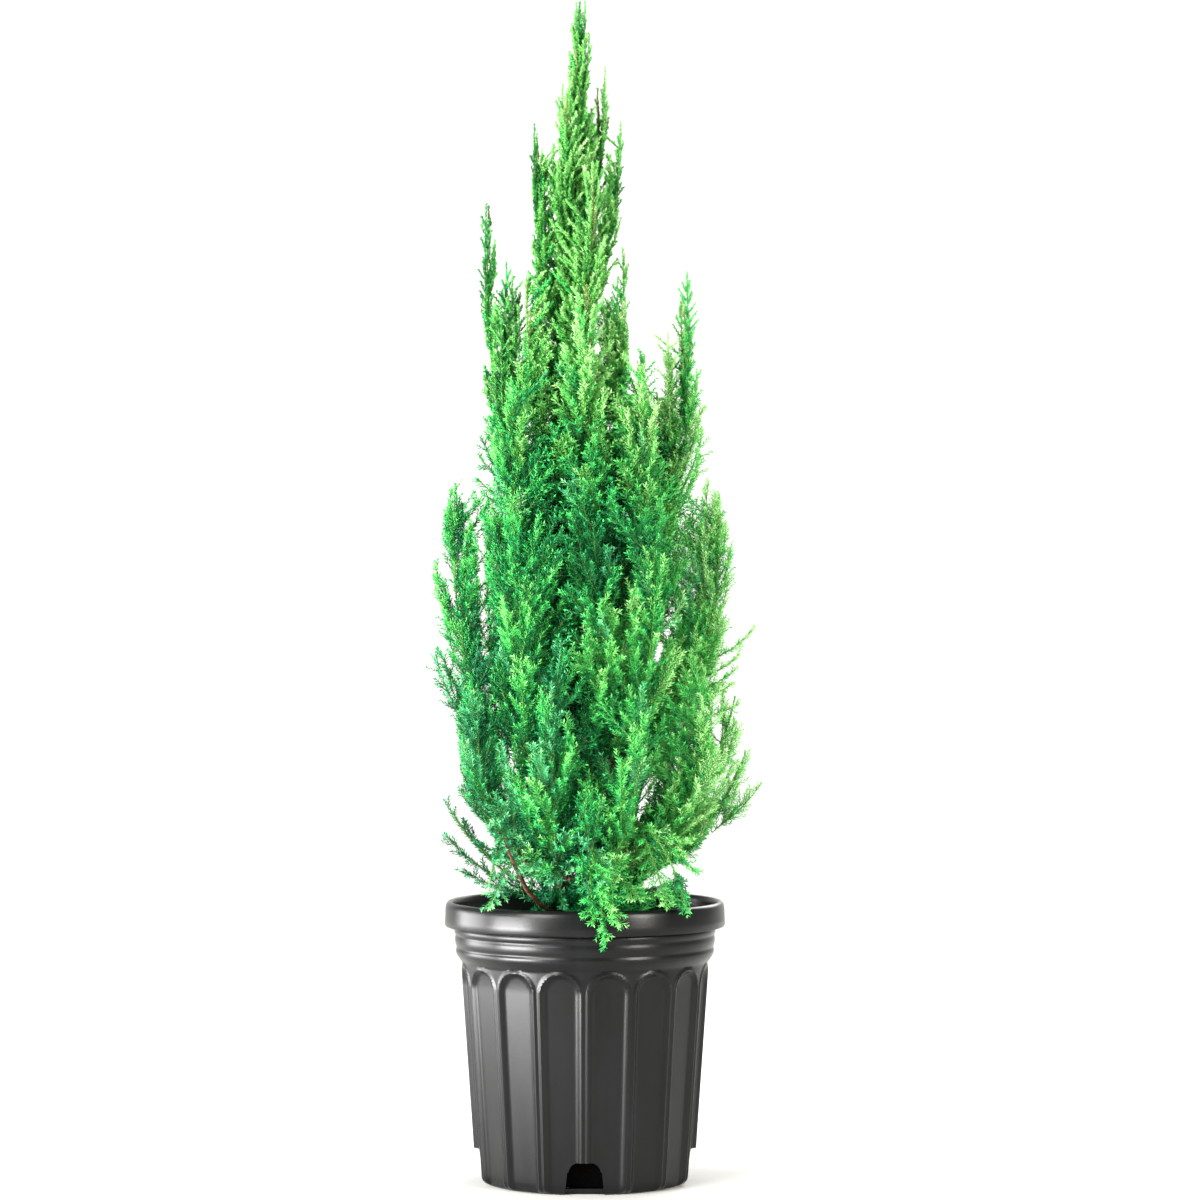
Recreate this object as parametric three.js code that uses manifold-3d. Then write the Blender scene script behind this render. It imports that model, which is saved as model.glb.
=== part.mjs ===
// Potted blue point juniper: a narrow upright conifer in a fluted black nursery pot.
// Millimetres, +Z up, the front is -Y and the right is +X. The origin is the centre of the pot's flat underside.
import * as THREE from "three";
import { mergeVertices } from "three/addons/utils/BufferGeometryUtils.js";
import Module from "manifold-3d";

const wasm = await Module();
wasm.setup();
const { clamp, degToRad, lerp } = THREE.MathUtils;

// Pot: a blow-moulded number 3 nursery container
const POT_HEIGHT = 266;
const RIM_RADIUS = 133.5;
const RIM_LIP_HEIGHT = 24;
const RIM_LIP_WIDTH = 7.5;
const BAND_TOP_RADIUS = 124.5;
const BAND_FOOT_RADIUS = 122.5;
const BAND_FOOT_HEIGHT = 213;
const BAND_GROOVES = 2;
const BAND_GROOVE_DEPTH = 1.6;
const BAND_STEP = 4; // height of the slope where the band steps in to the body
const BODY_TOP_RADIUS = 117;
const BODY_FOOT_RADIUS = 102.5;
const FOOT_ROUNDING = 7;
const WALL = 5;
const FLOOR = 5;
const POT_SEGMENTS = 32;

const FLUTES = 16;
const FLUTE_DEPTH = 3;
const FLUTE_SHARE = 0.82; // of the pitch from one rib to the next
const FLUTE_TOP = 205;
const DRAIN_NOTCHES = 4;
const DRAIN_WIDTH = 36;
const DRAIN_HEIGHT = 29;
const DRAIN_TOP_SHARE = 0.8; // of its width, where its arch springs
const ARCH_SEGMENTS = 2;

// Soil: a root ball of bark mix that stops short of the rim
const SOIL_TOP = 244;
const SOIL_MOUND = 4;
const SEAT_GAP = 0.3;

// Trunk: it bows to the left on its way up
const TRUNK_TOP = 960;
const TRUNK_FOOT_X = -14;
const TRUNK_TOP_X = -6;
const TRUNK_BOW = -20;
const TRUNK_BOW_PLACE = 0.7; // below 1 it bows most in its lower half
const TRUNK_SWAY = 4;
const TRUNK_RADIUS = 7.5;
const TRUNK_TIP_RADIUS = 1.9;
const ROOT_FLARE = 4.5;
const ROOT_FLARE_HEIGHT = 14;
const TRUNK_SIDES = 8;
const TRUNK_STEPS = 14;
const TRUNK_STEP_BIAS = 1.3; // above 1 the steps lie closer at the foot

// Foliage: each plume is one limb that sweeps out and up, feathered with sprays of needles.
// A plume is [azimuth in degrees from the right round through the back, reach of its tip from the pot's axis,
// height of its tip, height of its root on the trunk, half width].
// belly says how far out the limb swings before it turns up, and rise how much of its height it has gained there.
// lift arches the limb over the rim, by about half as much.
// bough is the bare share of the limb, which is a solid of its own where it isn't 0.
const TIERS = {
  spire: {
    belly: 1,
    rise: 0.3,
    bough: 0,
    plumes: {
      left: [184, 46, 1001, 790, 22],
      right: [9, 34, 1002, 806, 22],
      back_right: [52, 30, 1056, 872, 17],
      front_left: [228, 27, 1036, 850, 17],
      back: [112, 42, 985, 776, 22],
      front: [-80, 42, 958, 750, 24],
    },
  },
  shoulder: {
    belly: 1.08,
    rise: 0.2,
    bough: 0,
    plumes: {
      right: [-8, 44, 883, 690, 26],
      left: [203, 60, 874, 668, 26],
      front: [-88, 60, 846, 630, 30],
      back: [100, 66, 880, 646, 30],
      back_left: [146, 94, 808, 560, 30],
      back_right: [50, 84, 800, 580, 30],
    },
  },
  arm: {
    belly: 1.14,
    rise: 0.14,
    bough: 0,
    plumes: {
      left: [178, 92, 926, 620, 24],
      right: [3, 97, 863, 540, 32],
      front_right: [-45, 76, 772, 500, 32],
      front_left: [220, 88, 757, 480, 32],
    },
  },
  heart: {
    belly: 1.2,
    rise: 0.2,
    bough: 0,
    plumes: {
      front: [-75, 50, 660, 440, 34],
      back_left: [140, 54, 690, 460, 34],
      right: [25, 84, 676, 420, 34],
      front_left: [-124, 72, 552, 366, 30],
      front_right: [-78, 82, 566, 326, 32],
    },
  },
  middle: {
    belly: 1.14,
    rise: 0.14,
    bough: 0.16,
    plumes: {
      left: [181, 123, 673, 356, 34],
      right: [-4, 126, 676, 372, 34],
      right_back: [35, 138, 640, 352, 36],
      back: [86, 126, 690, 400, 36],
      left_back: [138, 128, 650, 376, 36],
      front_left: [236, 106, 585, 340, 36],
      front_right: [-55, 110, 608, 366, 36],
    },
  },
  low: {
    belly: 0.94,
    rise: 0.06,
    bough: 0.18,
    plumes: {
      right: [4, 151, 523, 300, 26],
      right_front: [-33, 142, 466, 284, 34],
      front_right: [-66, 130, 446, 276, 34],
      front_left: [-104, 126, 474, 280, 34],
      left_front: [214, 126, 480, 290, 36],
      left_back: [162, 128, 478, 282, 36],
      back: [110, 136, 456, 272, 36],
      back_right: [60, 138, 470, 284, 36],
    },
  },
  outrigger: {
    belly: 0.6,
    rise: 0.22,
    bough: 0,
    plumes: {
      right: [-8, 168, 378, 264, 24],
      left: [188, 134, 362, 262, 24],
    },
  },
  skirt: {
    belly: 0.75,
    rise: 0,
    lift: 92,
    bough: 0,
    plumes: {
      front: [-83, 152, 236, 296, 26],
      front_right: [-50, 150, 254, 311, 26],
      front_left: [230, 140, 276, 306, 24],
    },
  },
};

// The leader carries straight on from the trunk to the top of the plant
const LEADER_TOP = 1120;
const LEADER_LEAN = 1;
const LEADER_HALF_WIDTH = 20;

const PLUME_SWELL = 0.4; // of its feathered length, over which a plume fills out
const PLUME_FOOT_SHARE = 0.9; // of its half width where the feathers start
const PLUME_TIP_SHARE = 0.28; // of its half width at the tip
const PLUME_TAPER = 1.8; // above 1 a plume stays full for longer before it narrows

const LIMB_ROOT_SHARE = 0.5; // of the trunk's radius where the limb leaves it
const LIMB_ROOT_RADIUS = 3.4; // at most
const LIMB_TIP_RADIUS = 0.9;
const LIMB_TAPER = 0.8; // below 1 a limb thins most near its root
const BOUGH_SIDES = 5;
const BOUGH_STEPS = 3;
const STEM_SIDES = 3;
const STEM_STEPS = 6;
const HEART_WIDTH = 0.24; // of the plume's half width: its heart is too dense to see through
const HEART_SHARE = 0.8; // of the plume's share of the gap to its neighbour, at most

// Sprays: toothed blades of needles, spaced up each stem and turned on from one to the next
const SPRAY_SPACING = 9;
const SPRAY_SPACING_GAIN = 0.64; // of the plume's half width, on top
const SPRAY_TURN = degToRad(137.508);
const SPRAY_SPREAD_FOOT = degToRad(28);
const SPRAY_SPREAD_TIP = degToRad(13);
const SPRAY_ROLL = degToRad(25); // how far a spray may turn its face away from outward
const SPRAY_LIFT = 0.4; // how strongly a spray turns towards the light
const SPRAY_LONGEST = 110;
const SPRAY_SHORTEST = 30;
const SPRAY_TRIM = 0.88; // a spray that leaves its plume's space is tried again at this share of its length
const SPRAY_SPREAD_VARIES = 0.15; // either way
const SPRAY_LENGTH_VARIES = 0.25; // upwards
const SPRAY_THICKNESS = 0.055; // these three are in shares of its length
const SPRAY_MIDDLE = 0.46;
const TEETH = [[0.18, 0.42], [0.1, 0.47], [0.16, 0.76]]; // its outline on one side: out, back and out again
const TIP_SPRAY_LENGTH = 56;
const TIP_SPRAY_ROOT = 9; // of its length, inside the stem's end
const TIP_SPRAY_SLIMNESS = 0.65;

const SPACE_REACH = 1.3; // half widths that a needle may stand from its stem
const SPACE_MARGIN = 0.05; // half widths kept between two neighbours
const LIMB_CLEARANCE = 1.2;
const POT_CLEARANCE = 2;
const AXIS_SAMPLES = 24;

const UP = new THREE.Vector3(0, 0, 1);

// Solids

// A closed geometry as a solid, with its faces turned outwards.
function solidOf(geometry) {
  const bare = geometry.index ? geometry.toNonIndexed() : geometry.clone();
  bare.deleteAttribute("normal");
  bare.deleteAttribute("uv");
  const merged = mergeVertices(bare, 1e-4);
  const vertProperties = merged.attributes.position.array;
  const triVerts = new Uint32Array(merged.index.array);
  const make = () => new wasm.Manifold(new wasm.Mesh({ numProp: 3, vertProperties, triVerts }));
  const solid = make();
  if (solid.volume() > 0) return solid;
  for (let i = 0; i < triVerts.length; i += 3) {
    [triVerts[i + 1], triVerts[i + 2]] = [triVerts[i + 2], triVerts[i + 1]];
  }
  return make();
}

// A solid's largest body as a geometry: scraps that a cut left loose are dropped.
function geometryOf(solid) {
  const bodies = solid.decompose().sort((a, b) => b.volume() - a.volume());
  const { vertProperties, triVerts } = bodies[0].getMesh();
  return new THREE.BufferGeometry()
    .setAttribute("position", new THREE.BufferAttribute(vertProperties, 3))
    .setIndex(new THREE.BufferAttribute(triVerts, 1));
}

function polyhedron(points, faces) {
  return new THREE.BufferGeometry()
    .setAttribute("position", new THREE.Float32BufferAttribute(points.flatMap((p) => p.toArray()), 3))
    .setIndex(faces.flat());
}

// A profile of [radius, height] pairs, turned about Z.
function turned(profile, segments) {
  const points = profile.map(([radius, height]) => new THREE.Vector2(radius, height));
  return new THREE.LatheGeometry(points, segments).rotateX(Math.PI / 2);
}

// A tapering skin with flat ends over equal steps, each a centre, two directions across it and a radius.
function taperedSkin(steps, sides) {
  const points = [];
  for (const { centre, across, beside, radius } of steps) {
    for (let side = 0; side < sides; side++) {
      const angle = (side / sides) * 2 * Math.PI;
      const out = across.clone().multiplyScalar(Math.cos(angle)).addScaledVector(beside, Math.sin(angle));
      points.push(out.multiplyScalar(radius).add(centre));
    }
  }
  const faces = [];
  const top = points.length - sides;
  for (let foot = 0; foot < top; foot += sides) {
    for (let side = 0; side < sides; side++) {
      const [a, b] = [foot + side, foot + ((side + 1) % sides)];
      faces.push([a, b, b + sides], [a, b + sides, a + sides]);
    }
  }
  for (let side = 1; side < sides - 1; side++) {
    faces.push([0, side + 1, side], [top, top + side, top + side + 1]);
  }
  return polyhedron(points, faces);
}

// Pot

const bodyRadius = (height) => lerp(BODY_FOOT_RADIUS, BODY_TOP_RADIUS, height / BAND_FOOT_HEIGHT);

function potProfile() {
  const lipFoot = POT_HEIGHT - RIM_LIP_HEIGHT;
  const band = (climb, groove) => [
    lerp(BAND_FOOT_RADIUS, BAND_TOP_RADIUS, climb) - groove,
    lerp(BAND_FOOT_HEIGHT, lipFoot, climb),
  ];
  const grooves = [];
  for (let groove = 0; groove < BAND_GROOVES; groove++) {
    grooves.push(band((groove + 0.35) / BAND_GROOVES, BAND_GROOVE_DEPTH));
    grooves.push(band((groove + 0.85) / BAND_GROOVES, 0));
  }
  return [
    [0, 0],
    [BODY_FOOT_RADIUS - FOOT_ROUNDING, 0],
    [BODY_FOOT_RADIUS - FOOT_ROUNDING * 0.3, FOOT_ROUNDING * 0.3],
    [bodyRadius(FOOT_ROUNDING), FOOT_ROUNDING],
    [BODY_TOP_RADIUS, BAND_FOOT_HEIGHT - BAND_STEP],
    band(0, 0),
    ...grooves,
    [RIM_RADIUS - 0.8, lipFoot],
    [RIM_RADIUS, POT_HEIGHT - 4],
    [RIM_RADIUS - 2, POT_HEIGHT],
    [RIM_RADIUS - RIM_LIP_WIDTH, POT_HEIGHT],
    [RIM_RADIUS - RIM_LIP_WIDTH - 1, lipFoot + 2],
    [BAND_TOP_RADIUS - WALL, lipFoot - 3],
    [BODY_TOP_RADIUS - WALL, BAND_FOOT_HEIGHT - 6],
    [BODY_FOOT_RADIUS - WALL, FLOOR + 4],
    [BODY_FOOT_RADIUS - WALL - 4, FLOOR],
    [0, FLOOR],
  ];
}

// An arch that stands on the ground, pushed out through the pot's wall at one angle from the front.
function archCutter(angle, footHalfWidth, topHalfWidth, top, from, depth) {
  const arch = new THREE.Shape();
  arch.moveTo(-footHalfWidth, -1);
  arch.lineTo(footHalfWidth, -1);
  arch.lineTo(topHalfWidth, top - topHalfWidth);
  arch.absarc(0, top - topHalfWidth, topHalfWidth, 0, Math.PI, false);
  const cutter = new THREE.ExtrudeGeometry(arch, { depth, bevelEnabled: false, curveSegments: ARCH_SEGMENTS });
  cutter.translate(0, 0, from).rotateX(Math.PI / 2).rotateZ(angle);
  return solidOf(cutter);
}

function makePot() {
  const pitch = (2 * Math.PI) / FLUTES;
  const halfChord = (radius) => radius * Math.sin((pitch * FLUTE_SHARE) / 2);
  const from = BODY_FOOT_RADIUS - 2 * WALL;
  const arches = [];
  for (let flute = 0; flute < FLUTES; flute++) {
    const angle = (flute + 0.5) * pitch;
    arches.push(archCutter(angle, halfChord(BODY_FOOT_RADIUS), halfChord(BODY_TOP_RADIUS), FLUTE_TOP, from, 4 * WALL));
  }
  const panelWall = [0, POT_HEIGHT].map((height) => [bodyRadius(height) - FLUTE_DEPTH, height]);
  const panels = turned([[0, -WALL], [panelWall[0][0], -WALL], panelWall[1], [0, POT_HEIGHT]], POT_SEGMENTS);
  const flutes = wasm.Manifold.union(arches).subtract(solidOf(panels));
  const notches = [];
  for (let notch = 0; notch < DRAIN_NOTCHES; notch++) {
    const angle = (notch / DRAIN_NOTCHES) * 2 * Math.PI;
    notches.push(archCutter(angle, DRAIN_WIDTH / 2, (DRAIN_WIDTH * DRAIN_TOP_SHARE) / 2, DRAIN_HEIGHT, from, 4 * WALL));
  }
  return solidOf(turned(potProfile(), POT_SEGMENTS)).subtract(flutes).subtract(wasm.Manifold.union(notches));
}

function makeSoil() {
  const gap = WALL + SEAT_GAP + 0.3;
  return turned(
    [
      [0, FLOOR + SEAT_GAP],
      [BODY_FOOT_RADIUS - gap - 4, FLOOR + SEAT_GAP],
      [BODY_FOOT_RADIUS - gap - 0.3, FLOOR + 4.5],
      [BODY_TOP_RADIUS - gap, BAND_FOOT_HEIGHT - 6],
      [BAND_TOP_RADIUS - gap - 0.6, SOIL_TOP - 6],
      [BAND_TOP_RADIUS - gap - 4, SOIL_TOP - 3],
      [70, SOIL_TOP],
      [20, SOIL_TOP + SOIL_MOUND],
      [0, SOIL_TOP + SOIL_MOUND],
    ],
    POT_SEGMENTS / 2,
  );
}

// Trunk: rings that lie level, so its foot is cut flat on the soil

const TRUNK_FOOT = SOIL_TOP + SOIL_MOUND + SEAT_GAP;

function trunkCentre(height) {
  const climb = (height - TRUNK_FOOT) / (TRUNK_TOP - TRUNK_FOOT);
  const bow = TRUNK_BOW * Math.sin(Math.PI * climb ** TRUNK_BOW_PLACE);
  const x = lerp(TRUNK_FOOT_X, TRUNK_TOP_X, climb) + bow;
  return new THREE.Vector3(x, TRUNK_SWAY * Math.sin(2 * Math.PI * climb), height);
}

function trunkRadius(height) {
  const climb = (height - TRUNK_FOOT) / (TRUNK_TOP - TRUNK_FOOT);
  const flare = ROOT_FLARE * Math.exp((TRUNK_FOOT - height) / ROOT_FLARE_HEIGHT);
  return lerp(TRUNK_RADIUS, TRUNK_TIP_RADIUS, climb) + flare;
}

function makeTrunk(grow = 0) {
  const steps = [];
  for (let step = 0; step <= TRUNK_STEPS; step++) {
    const height = lerp(TRUNK_FOOT, TRUNK_TOP, (step / TRUNK_STEPS) ** TRUNK_STEP_BIAS);
    const centre = trunkCentre(height);
    if (step === 0) centre.z -= grow;
    if (step === TRUNK_STEPS) centre.z += grow;
    const [across, beside] = [new THREE.Vector3(1, 0, 0), new THREE.Vector3(0, 1, 0)];
    steps.push({ centre, across, beside, radius: trunkRadius(height) + grow });
  }
  return taperedSkin(steps, TRUNK_SIDES);
}

// Plumes

class Plume {
  constructor(name, curve, bough, halfWidth, rootRadius, seed) {
    Object.assign(this, { name, curve, bough, halfWidth, rootRadius, seed });
    this.length = curve.getLength();
    const across = curve.getPointAt(1).sub(curve.getPointAt(0)).setZ(0).normalize();
    this.beside = new THREE.Vector3().crossVectors(UP, across);
    this.axis = [];
    for (let i = 0; i <= AXIS_SAMPLES; i++) {
      const along = i / AXIS_SAMPLES;
      this.axis.push({ point: this.pointAt(along), width: this.widthAt(along) });
    }
  }

  // along runs over the feathered part of the limb, from 0 where its bough ends to 1 at its tip.
  shareAt(along) {
    return lerp(this.bough, 1, along);
  }

  pointAt(along) {
    return this.curve.getPointAt(this.shareAt(along));
  }

  // The limb's direction and two directions across it: it bends in one upright plane.
  frameAt(share) {
    const tangent = this.curve.getTangentAt(share);
    return { tangent, across: new THREE.Vector3().crossVectors(this.beside, tangent), beside: this.beside };
  }

  widthAt(along) {
    const swell = lerp(PLUME_FOOT_SHARE, 1, Math.min(1, along / PLUME_SWELL));
    return this.halfWidth * swell * (1 - (1 - PLUME_TIP_SHARE) * along ** PLUME_TAPER);
  }

  radiusAt(share) {
    return lerp(this.rootRadius, LIMB_TIP_RADIUS, share ** LIMB_TAPER);
  }

  // The limb's skin from one share of its length to another, as thick as radiusAt says at each share.
  skin(from, to, sides, count, radiusAt) {
    const steps = [];
    for (let step = 0; step <= count; step++) {
      const share = lerp(from, to, step / count);
      const { across, beside } = this.frameAt(share);
      steps.push({ centre: this.curve.getPointAt(share), across, beside, radius: radiusAt(share) });
    }
    return taperedSkin(steps, sides);
  }

  // Distance from the stem in half widths: 1 is the edge of the plume's own space.
  depth(point) {
    return Math.min(...this.axis.map((sample) => point.distanceTo(sample.point) / sample.width));
  }
}

function growPlumes() {
  const plumes = [];
  for (const [tierName, { belly, rise, lift = 0, bough, plumes: table }] of Object.entries(TIERS)) {
    for (const [side, [azimuth, reach, top, root, halfWidth]] of Object.entries(table)) {
      const foot = trunkCentre(root);
      const angle = degToRad(azimuth);
      const tip = new THREE.Vector3(reach * Math.cos(angle), reach * Math.sin(angle), top);
      const bend = new THREE.Vector3().lerpVectors(foot, tip, belly).setZ(lerp(root, top, rise) + lift);
      const curve = new THREE.QuadraticBezierCurve3(foot, bend, tip);
      const rootRadius = Math.min(LIMB_ROOT_RADIUS, trunkRadius(root) * LIMB_ROOT_SHARE);
      plumes.push(new Plume(`${tierName}_${side}`, curve, bough, halfWidth, rootRadius, plumes.length + 1));
    }
  }
  const foot = trunkCentre(TRUNK_TOP).setZ(TRUNK_TOP + SEAT_GAP);
  const tip = new THREE.Vector3(foot.x + LEADER_LEAN, 0, LEADER_TOP);
  const leader = new THREE.LineCurve3(foot, tip);
  plumes.push(new Plume("leader", leader, 0, LEADER_HALF_WIDTH, TRUNK_TIP_RADIUS, plumes.length + 1));
  return plumes;
}

// Sprays

// Numbers from 0 to 1 that are the same at every run.
function seeded(seed) {
  let state = seed;
  return () => {
    state = (state + 0x6d2b79f5) >>> 0;
    let mixed = Math.imul(state ^ (state >>> 15), state | 1);
    mixed ^= mixed + Math.imul(mixed ^ (mixed >>> 7), mixed | 61);
    return ((mixed ^ (mixed >>> 14)) >>> 0) / 2 ** 32;
  };
}

// A toothed blade of needles along +Z, thickest at its middle. Its outline runs up one side and down the other.
function sprayGeometry(length, slimness) {
  const side = [...TEETH, [0, 1], ...TEETH.map(([across, along]) => [-across, along]).reverse()];
  const outline = [[0, 0], ...side].map(([across, along]) => new THREE.Vector3(across, 0, along));
  const ridges = [-1, 1].map((face) => new THREE.Vector3(0, (face * SPRAY_THICKNESS) / 2, SPRAY_MIDDLE));
  const faces = [];
  outline.forEach((_, corner) => {
    const next = (corner + 1) % outline.length;
    faces.push([corner, next, outline.length], [next, corner, outline.length + 1]);
  });
  return polyhedron([...outline, ...ridges], faces).scale(length * slimness, length, length);
}

// A spray that grows from a point along a direction, with its flat faces turned towards facing and away from it.
function placedSpray(point, direction, facing, length, slimness = 1) {
  const across = new THREE.Vector3().crossVectors(facing, direction).normalize();
  const flat = new THREE.Vector3().crossVectors(direction, across);
  const place = new THREE.Matrix4().makeBasis(across, flat, direction).setPosition(point);
  return sprayGeometry(length, slimness).applyMatrix4(place);
}

function cornersOf(geometry) {
  const { position } = geometry.attributes;
  return Array.from({ length: position.count }, (_, i) => new THREE.Vector3().fromBufferAttribute(position, i));
}

// The bare limbs as balls that foliage keeps clear of.
function limbBalls(plumes) {
  const balls = [];
  for (let height = TRUNK_FOOT; height < TRUNK_TOP; height += TRUNK_RADIUS) {
    balls.push({ point: trunkCentre(height), radius: trunkRadius(height) });
  }
  for (const plume of plumes) {
    for (let share = 0; share <= plume.bough && plume.bough; share += 2 * LIMB_ROOT_RADIUS / plume.length) {
      balls.push({ point: plume.curve.getPointAt(share), radius: plume.radiusAt(share) });
    }
  }
  return balls;
}

function isClearOfPot(point) {
  const radius = Math.hypot(point.x, point.y);
  if (radius > RIM_RADIUS + POT_CLEARANCE) return true;
  const overRim = radius > RIM_RADIUS - RIM_LIP_WIDTH - 2 * POT_CLEARANCE;
  return point.z > (overRim ? POT_HEIGHT : SOIL_TOP + SOIL_MOUND) + POT_CLEARANCE;
}

// A point belongs to the plume whose stem is nearest, counted in half widths.
function isInSpace(point, plume, plumes, balls) {
  const own = plume.depth(point);
  if (own > SPACE_REACH || !isClearOfPot(point)) return false;
  if (balls.some((ball) => point.distanceTo(ball.point) < ball.radius + LIMB_CLEARANCE)) return false;
  return plumes.every((other) => other === plume || other.depth(point) > own + SPACE_MARGIN);
}

// How thick the heart of a plume may be at a point of its stem: no neighbour's stem or bough may come near it.
function heartRadius(point, width, plume, plumes, balls) {
  const free = balls.map((ball) => point.distanceTo(ball.point) - ball.radius - LIMB_CLEARANCE);
  for (const other of plumes) {
    if (other === plume) continue;
    for (const sample of other.axis) {
      free.push((point.distanceTo(sample.point) * width * HEART_SHARE) / (width + sample.width));
    }
  }
  return Math.min(width * HEART_WIDTH, ...free);
}

// One plume: a stem with a dense heart, sprays all the way up it, and one at its tip.
// A spray that would leave the plume's space is shortened, or skipped where it would be too short.
function makeMass(plume, plumes, balls) {
  const random = seeded(plume.seed);
  const start = plume.bough ? plume.bough + SEAT_GAP / plume.length : 0;
  const end = 1 - (TIP_SPRAY_LENGTH - TIP_SPRAY_ROOT) / plume.length;
  const thickness = (share) => {
    const bare = plume.radiusAt(share);
    if (share === start || share === end) return bare;
    const along = (share - plume.bough) / (1 - plume.bough);
    return Math.max(bare, heartRadius(plume.curve.getPointAt(share), plume.widthAt(along), plume, plumes, balls));
  };
  const parts = [solidOf(plume.skin(start, end, STEM_SIDES, STEM_STEPS, thickness))];

  const grow = (point, direction, facing, wanted) => {
    for (let length = wanted; length >= SPRAY_SHORTEST; length *= SPRAY_TRIM) {
      const spray = placedSpray(point, direction, facing, length);
      if (cornersOf(spray).slice(1).every((corner) => isInSpace(corner, plume, plumes, balls))) {
        parts.push(solidOf(spray));
        return;
      }
    }
  };

  const feathered = (end - plume.bough) / (1 - plume.bough);
  const spacing = SPRAY_SPACING + SPRAY_SPACING_GAIN * plume.halfWidth;
  const count = Math.round((plume.length * (end - plume.bough)) / spacing);
  for (let i = 0; i < count; i++) {
    const along = (feathered * (i + 0.5)) / count;
    const point = plume.pointAt(along);
    const { tangent, across, beside } = plume.frameAt(plume.shareAt(along));
    const turn = i * SPRAY_TURN + plume.seed;
    const outward = across.multiplyScalar(Math.cos(turn)).addScaledVector(beside, Math.sin(turn));
    const spreadVaries = lerp(1 - SPRAY_SPREAD_VARIES, 1 + SPRAY_SPREAD_VARIES, random());
    const spread = lerp(SPRAY_SPREAD_FOOT, SPRAY_SPREAD_TIP, along) * spreadVaries;
    const direction = tangent.clone().multiplyScalar(Math.cos(spread)).addScaledVector(outward, Math.sin(spread));
    direction.addScaledVector(UP, SPRAY_LIFT).normalize();
    const wanted = (plume.widthAt(along) / Math.sin(spread)) * (1 + SPRAY_LENGTH_VARIES * random());
    const facing = outward.applyAxisAngle(direction, lerp(-SPRAY_ROLL, SPRAY_ROLL, random()));
    grow(point, direction, facing, clamp(wanted, SPRAY_SHORTEST, SPRAY_LONGEST));
  }

  const tip = plume.pointAt(1);
  const tipRoot = plume.curve.getPointAt(1 - TIP_SPRAY_LENGTH / plume.length);
  const length = tip.distanceTo(tipRoot);
  const direction = tip.sub(tipRoot).normalize();
  parts.push(solidOf(placedSpray(tipRoot, direction, plume.beside, length, TIP_SPRAY_SLIMNESS)));
  return wasm.Manifold.union(parts);
}

// Assembly

const potPlastic = new THREE.MeshStandardMaterial({ color: "#3a3b3b", roughness: 0.45, metalness: 0 });
const barkMix = new THREE.MeshStandardMaterial({ color: "#4a3527", roughness: 0.95, metalness: 0 });
const bark = new THREE.MeshStandardMaterial({ color: "#6b4632", roughness: 0.9, metalness: 0 });
const needles = new THREE.MeshStandardMaterial({ color: "#2f9a45", roughness: 0.6, metalness: 0 });

const juniper = new THREE.Group();

function add(name, geometry, material) {
  const mesh = new THREE.Mesh(geometry, material);
  mesh.name = name;
  juniper.add(mesh);
}

add("pot", geometryOf(makePot()), potPlastic);
add("soil", makeSoil(), barkMix);
add("trunk", makeTrunk(), bark);

const trunkSpace = solidOf(makeTrunk(SEAT_GAP));
const plumes = growPlumes();
const balls = limbBalls(plumes);
for (const plume of plumes) {
  if (plume.bough) {
    const bough = solidOf(plume.skin(0, plume.bough, BOUGH_SIDES, BOUGH_STEPS, (share) => plume.radiusAt(share)));
    add(`bough_${plume.name}`, geometryOf(bough.subtract(trunkSpace)), bark);
  }
  add(`foliage_${plume.name}`, geometryOf(makeMass(plume, plumes, balls).subtract(trunkSpace)), needles);
}

export default juniper;
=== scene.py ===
# Potted blue point juniper: a feathery upright conifer in a black nursery pot, dressed for a product picture
import math

import bmesh
import bpy
import numpy as np
from mathutils import Matrix, Vector, noise


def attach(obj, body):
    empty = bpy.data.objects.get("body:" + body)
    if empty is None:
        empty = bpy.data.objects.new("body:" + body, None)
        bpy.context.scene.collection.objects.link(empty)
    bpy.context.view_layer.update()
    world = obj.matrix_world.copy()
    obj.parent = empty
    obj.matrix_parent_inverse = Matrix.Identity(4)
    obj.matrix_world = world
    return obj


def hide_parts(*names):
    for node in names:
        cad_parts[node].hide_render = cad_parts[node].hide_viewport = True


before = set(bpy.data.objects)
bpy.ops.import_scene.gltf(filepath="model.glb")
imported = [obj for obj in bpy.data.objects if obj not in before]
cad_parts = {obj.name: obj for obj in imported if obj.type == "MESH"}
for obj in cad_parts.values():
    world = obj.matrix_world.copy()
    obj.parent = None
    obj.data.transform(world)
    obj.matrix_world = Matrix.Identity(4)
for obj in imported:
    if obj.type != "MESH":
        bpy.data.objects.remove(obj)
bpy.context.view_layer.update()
mm = 0.001
print("frame loaded,", len(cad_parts), "nodes")


# Materials and pieces

def toLinear(hexColour):
    channels = [int(hexColour[i : i + 2], 16) / 255 for i in (1, 3, 5)]
    return [c / 12.92 if c <= 0.04045 else ((c + 0.055) / 1.055) ** 2.4 for c in channels] + [1.0]


def newMaterial(name, settings):
    material = bpy.data.materials.new(name)
    material.use_nodes = True
    shader = material.node_tree.nodes["Principled BSDF"]
    for socket, value in settings.items():
        shader.inputs[socket].default_value = value
    return material, shader


def addNode(material, kind, settings=None, links=None):
    node = material.node_tree.nodes.new("ShaderNode" + kind)
    for key, value in (settings or {}).items():
        if isinstance(key, int) or key in node.inputs:
            node.inputs[key].default_value = value
        else:
            setattr(node, key, value)
    linkInto(material, node, links or {})
    return node


def linkInto(material, node, links):  # {input socket: (node, its output)}
    for key, (source, output) in links.items():
        material.node_tree.links.new(source.outputs[output], node.inputs[key])


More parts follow.
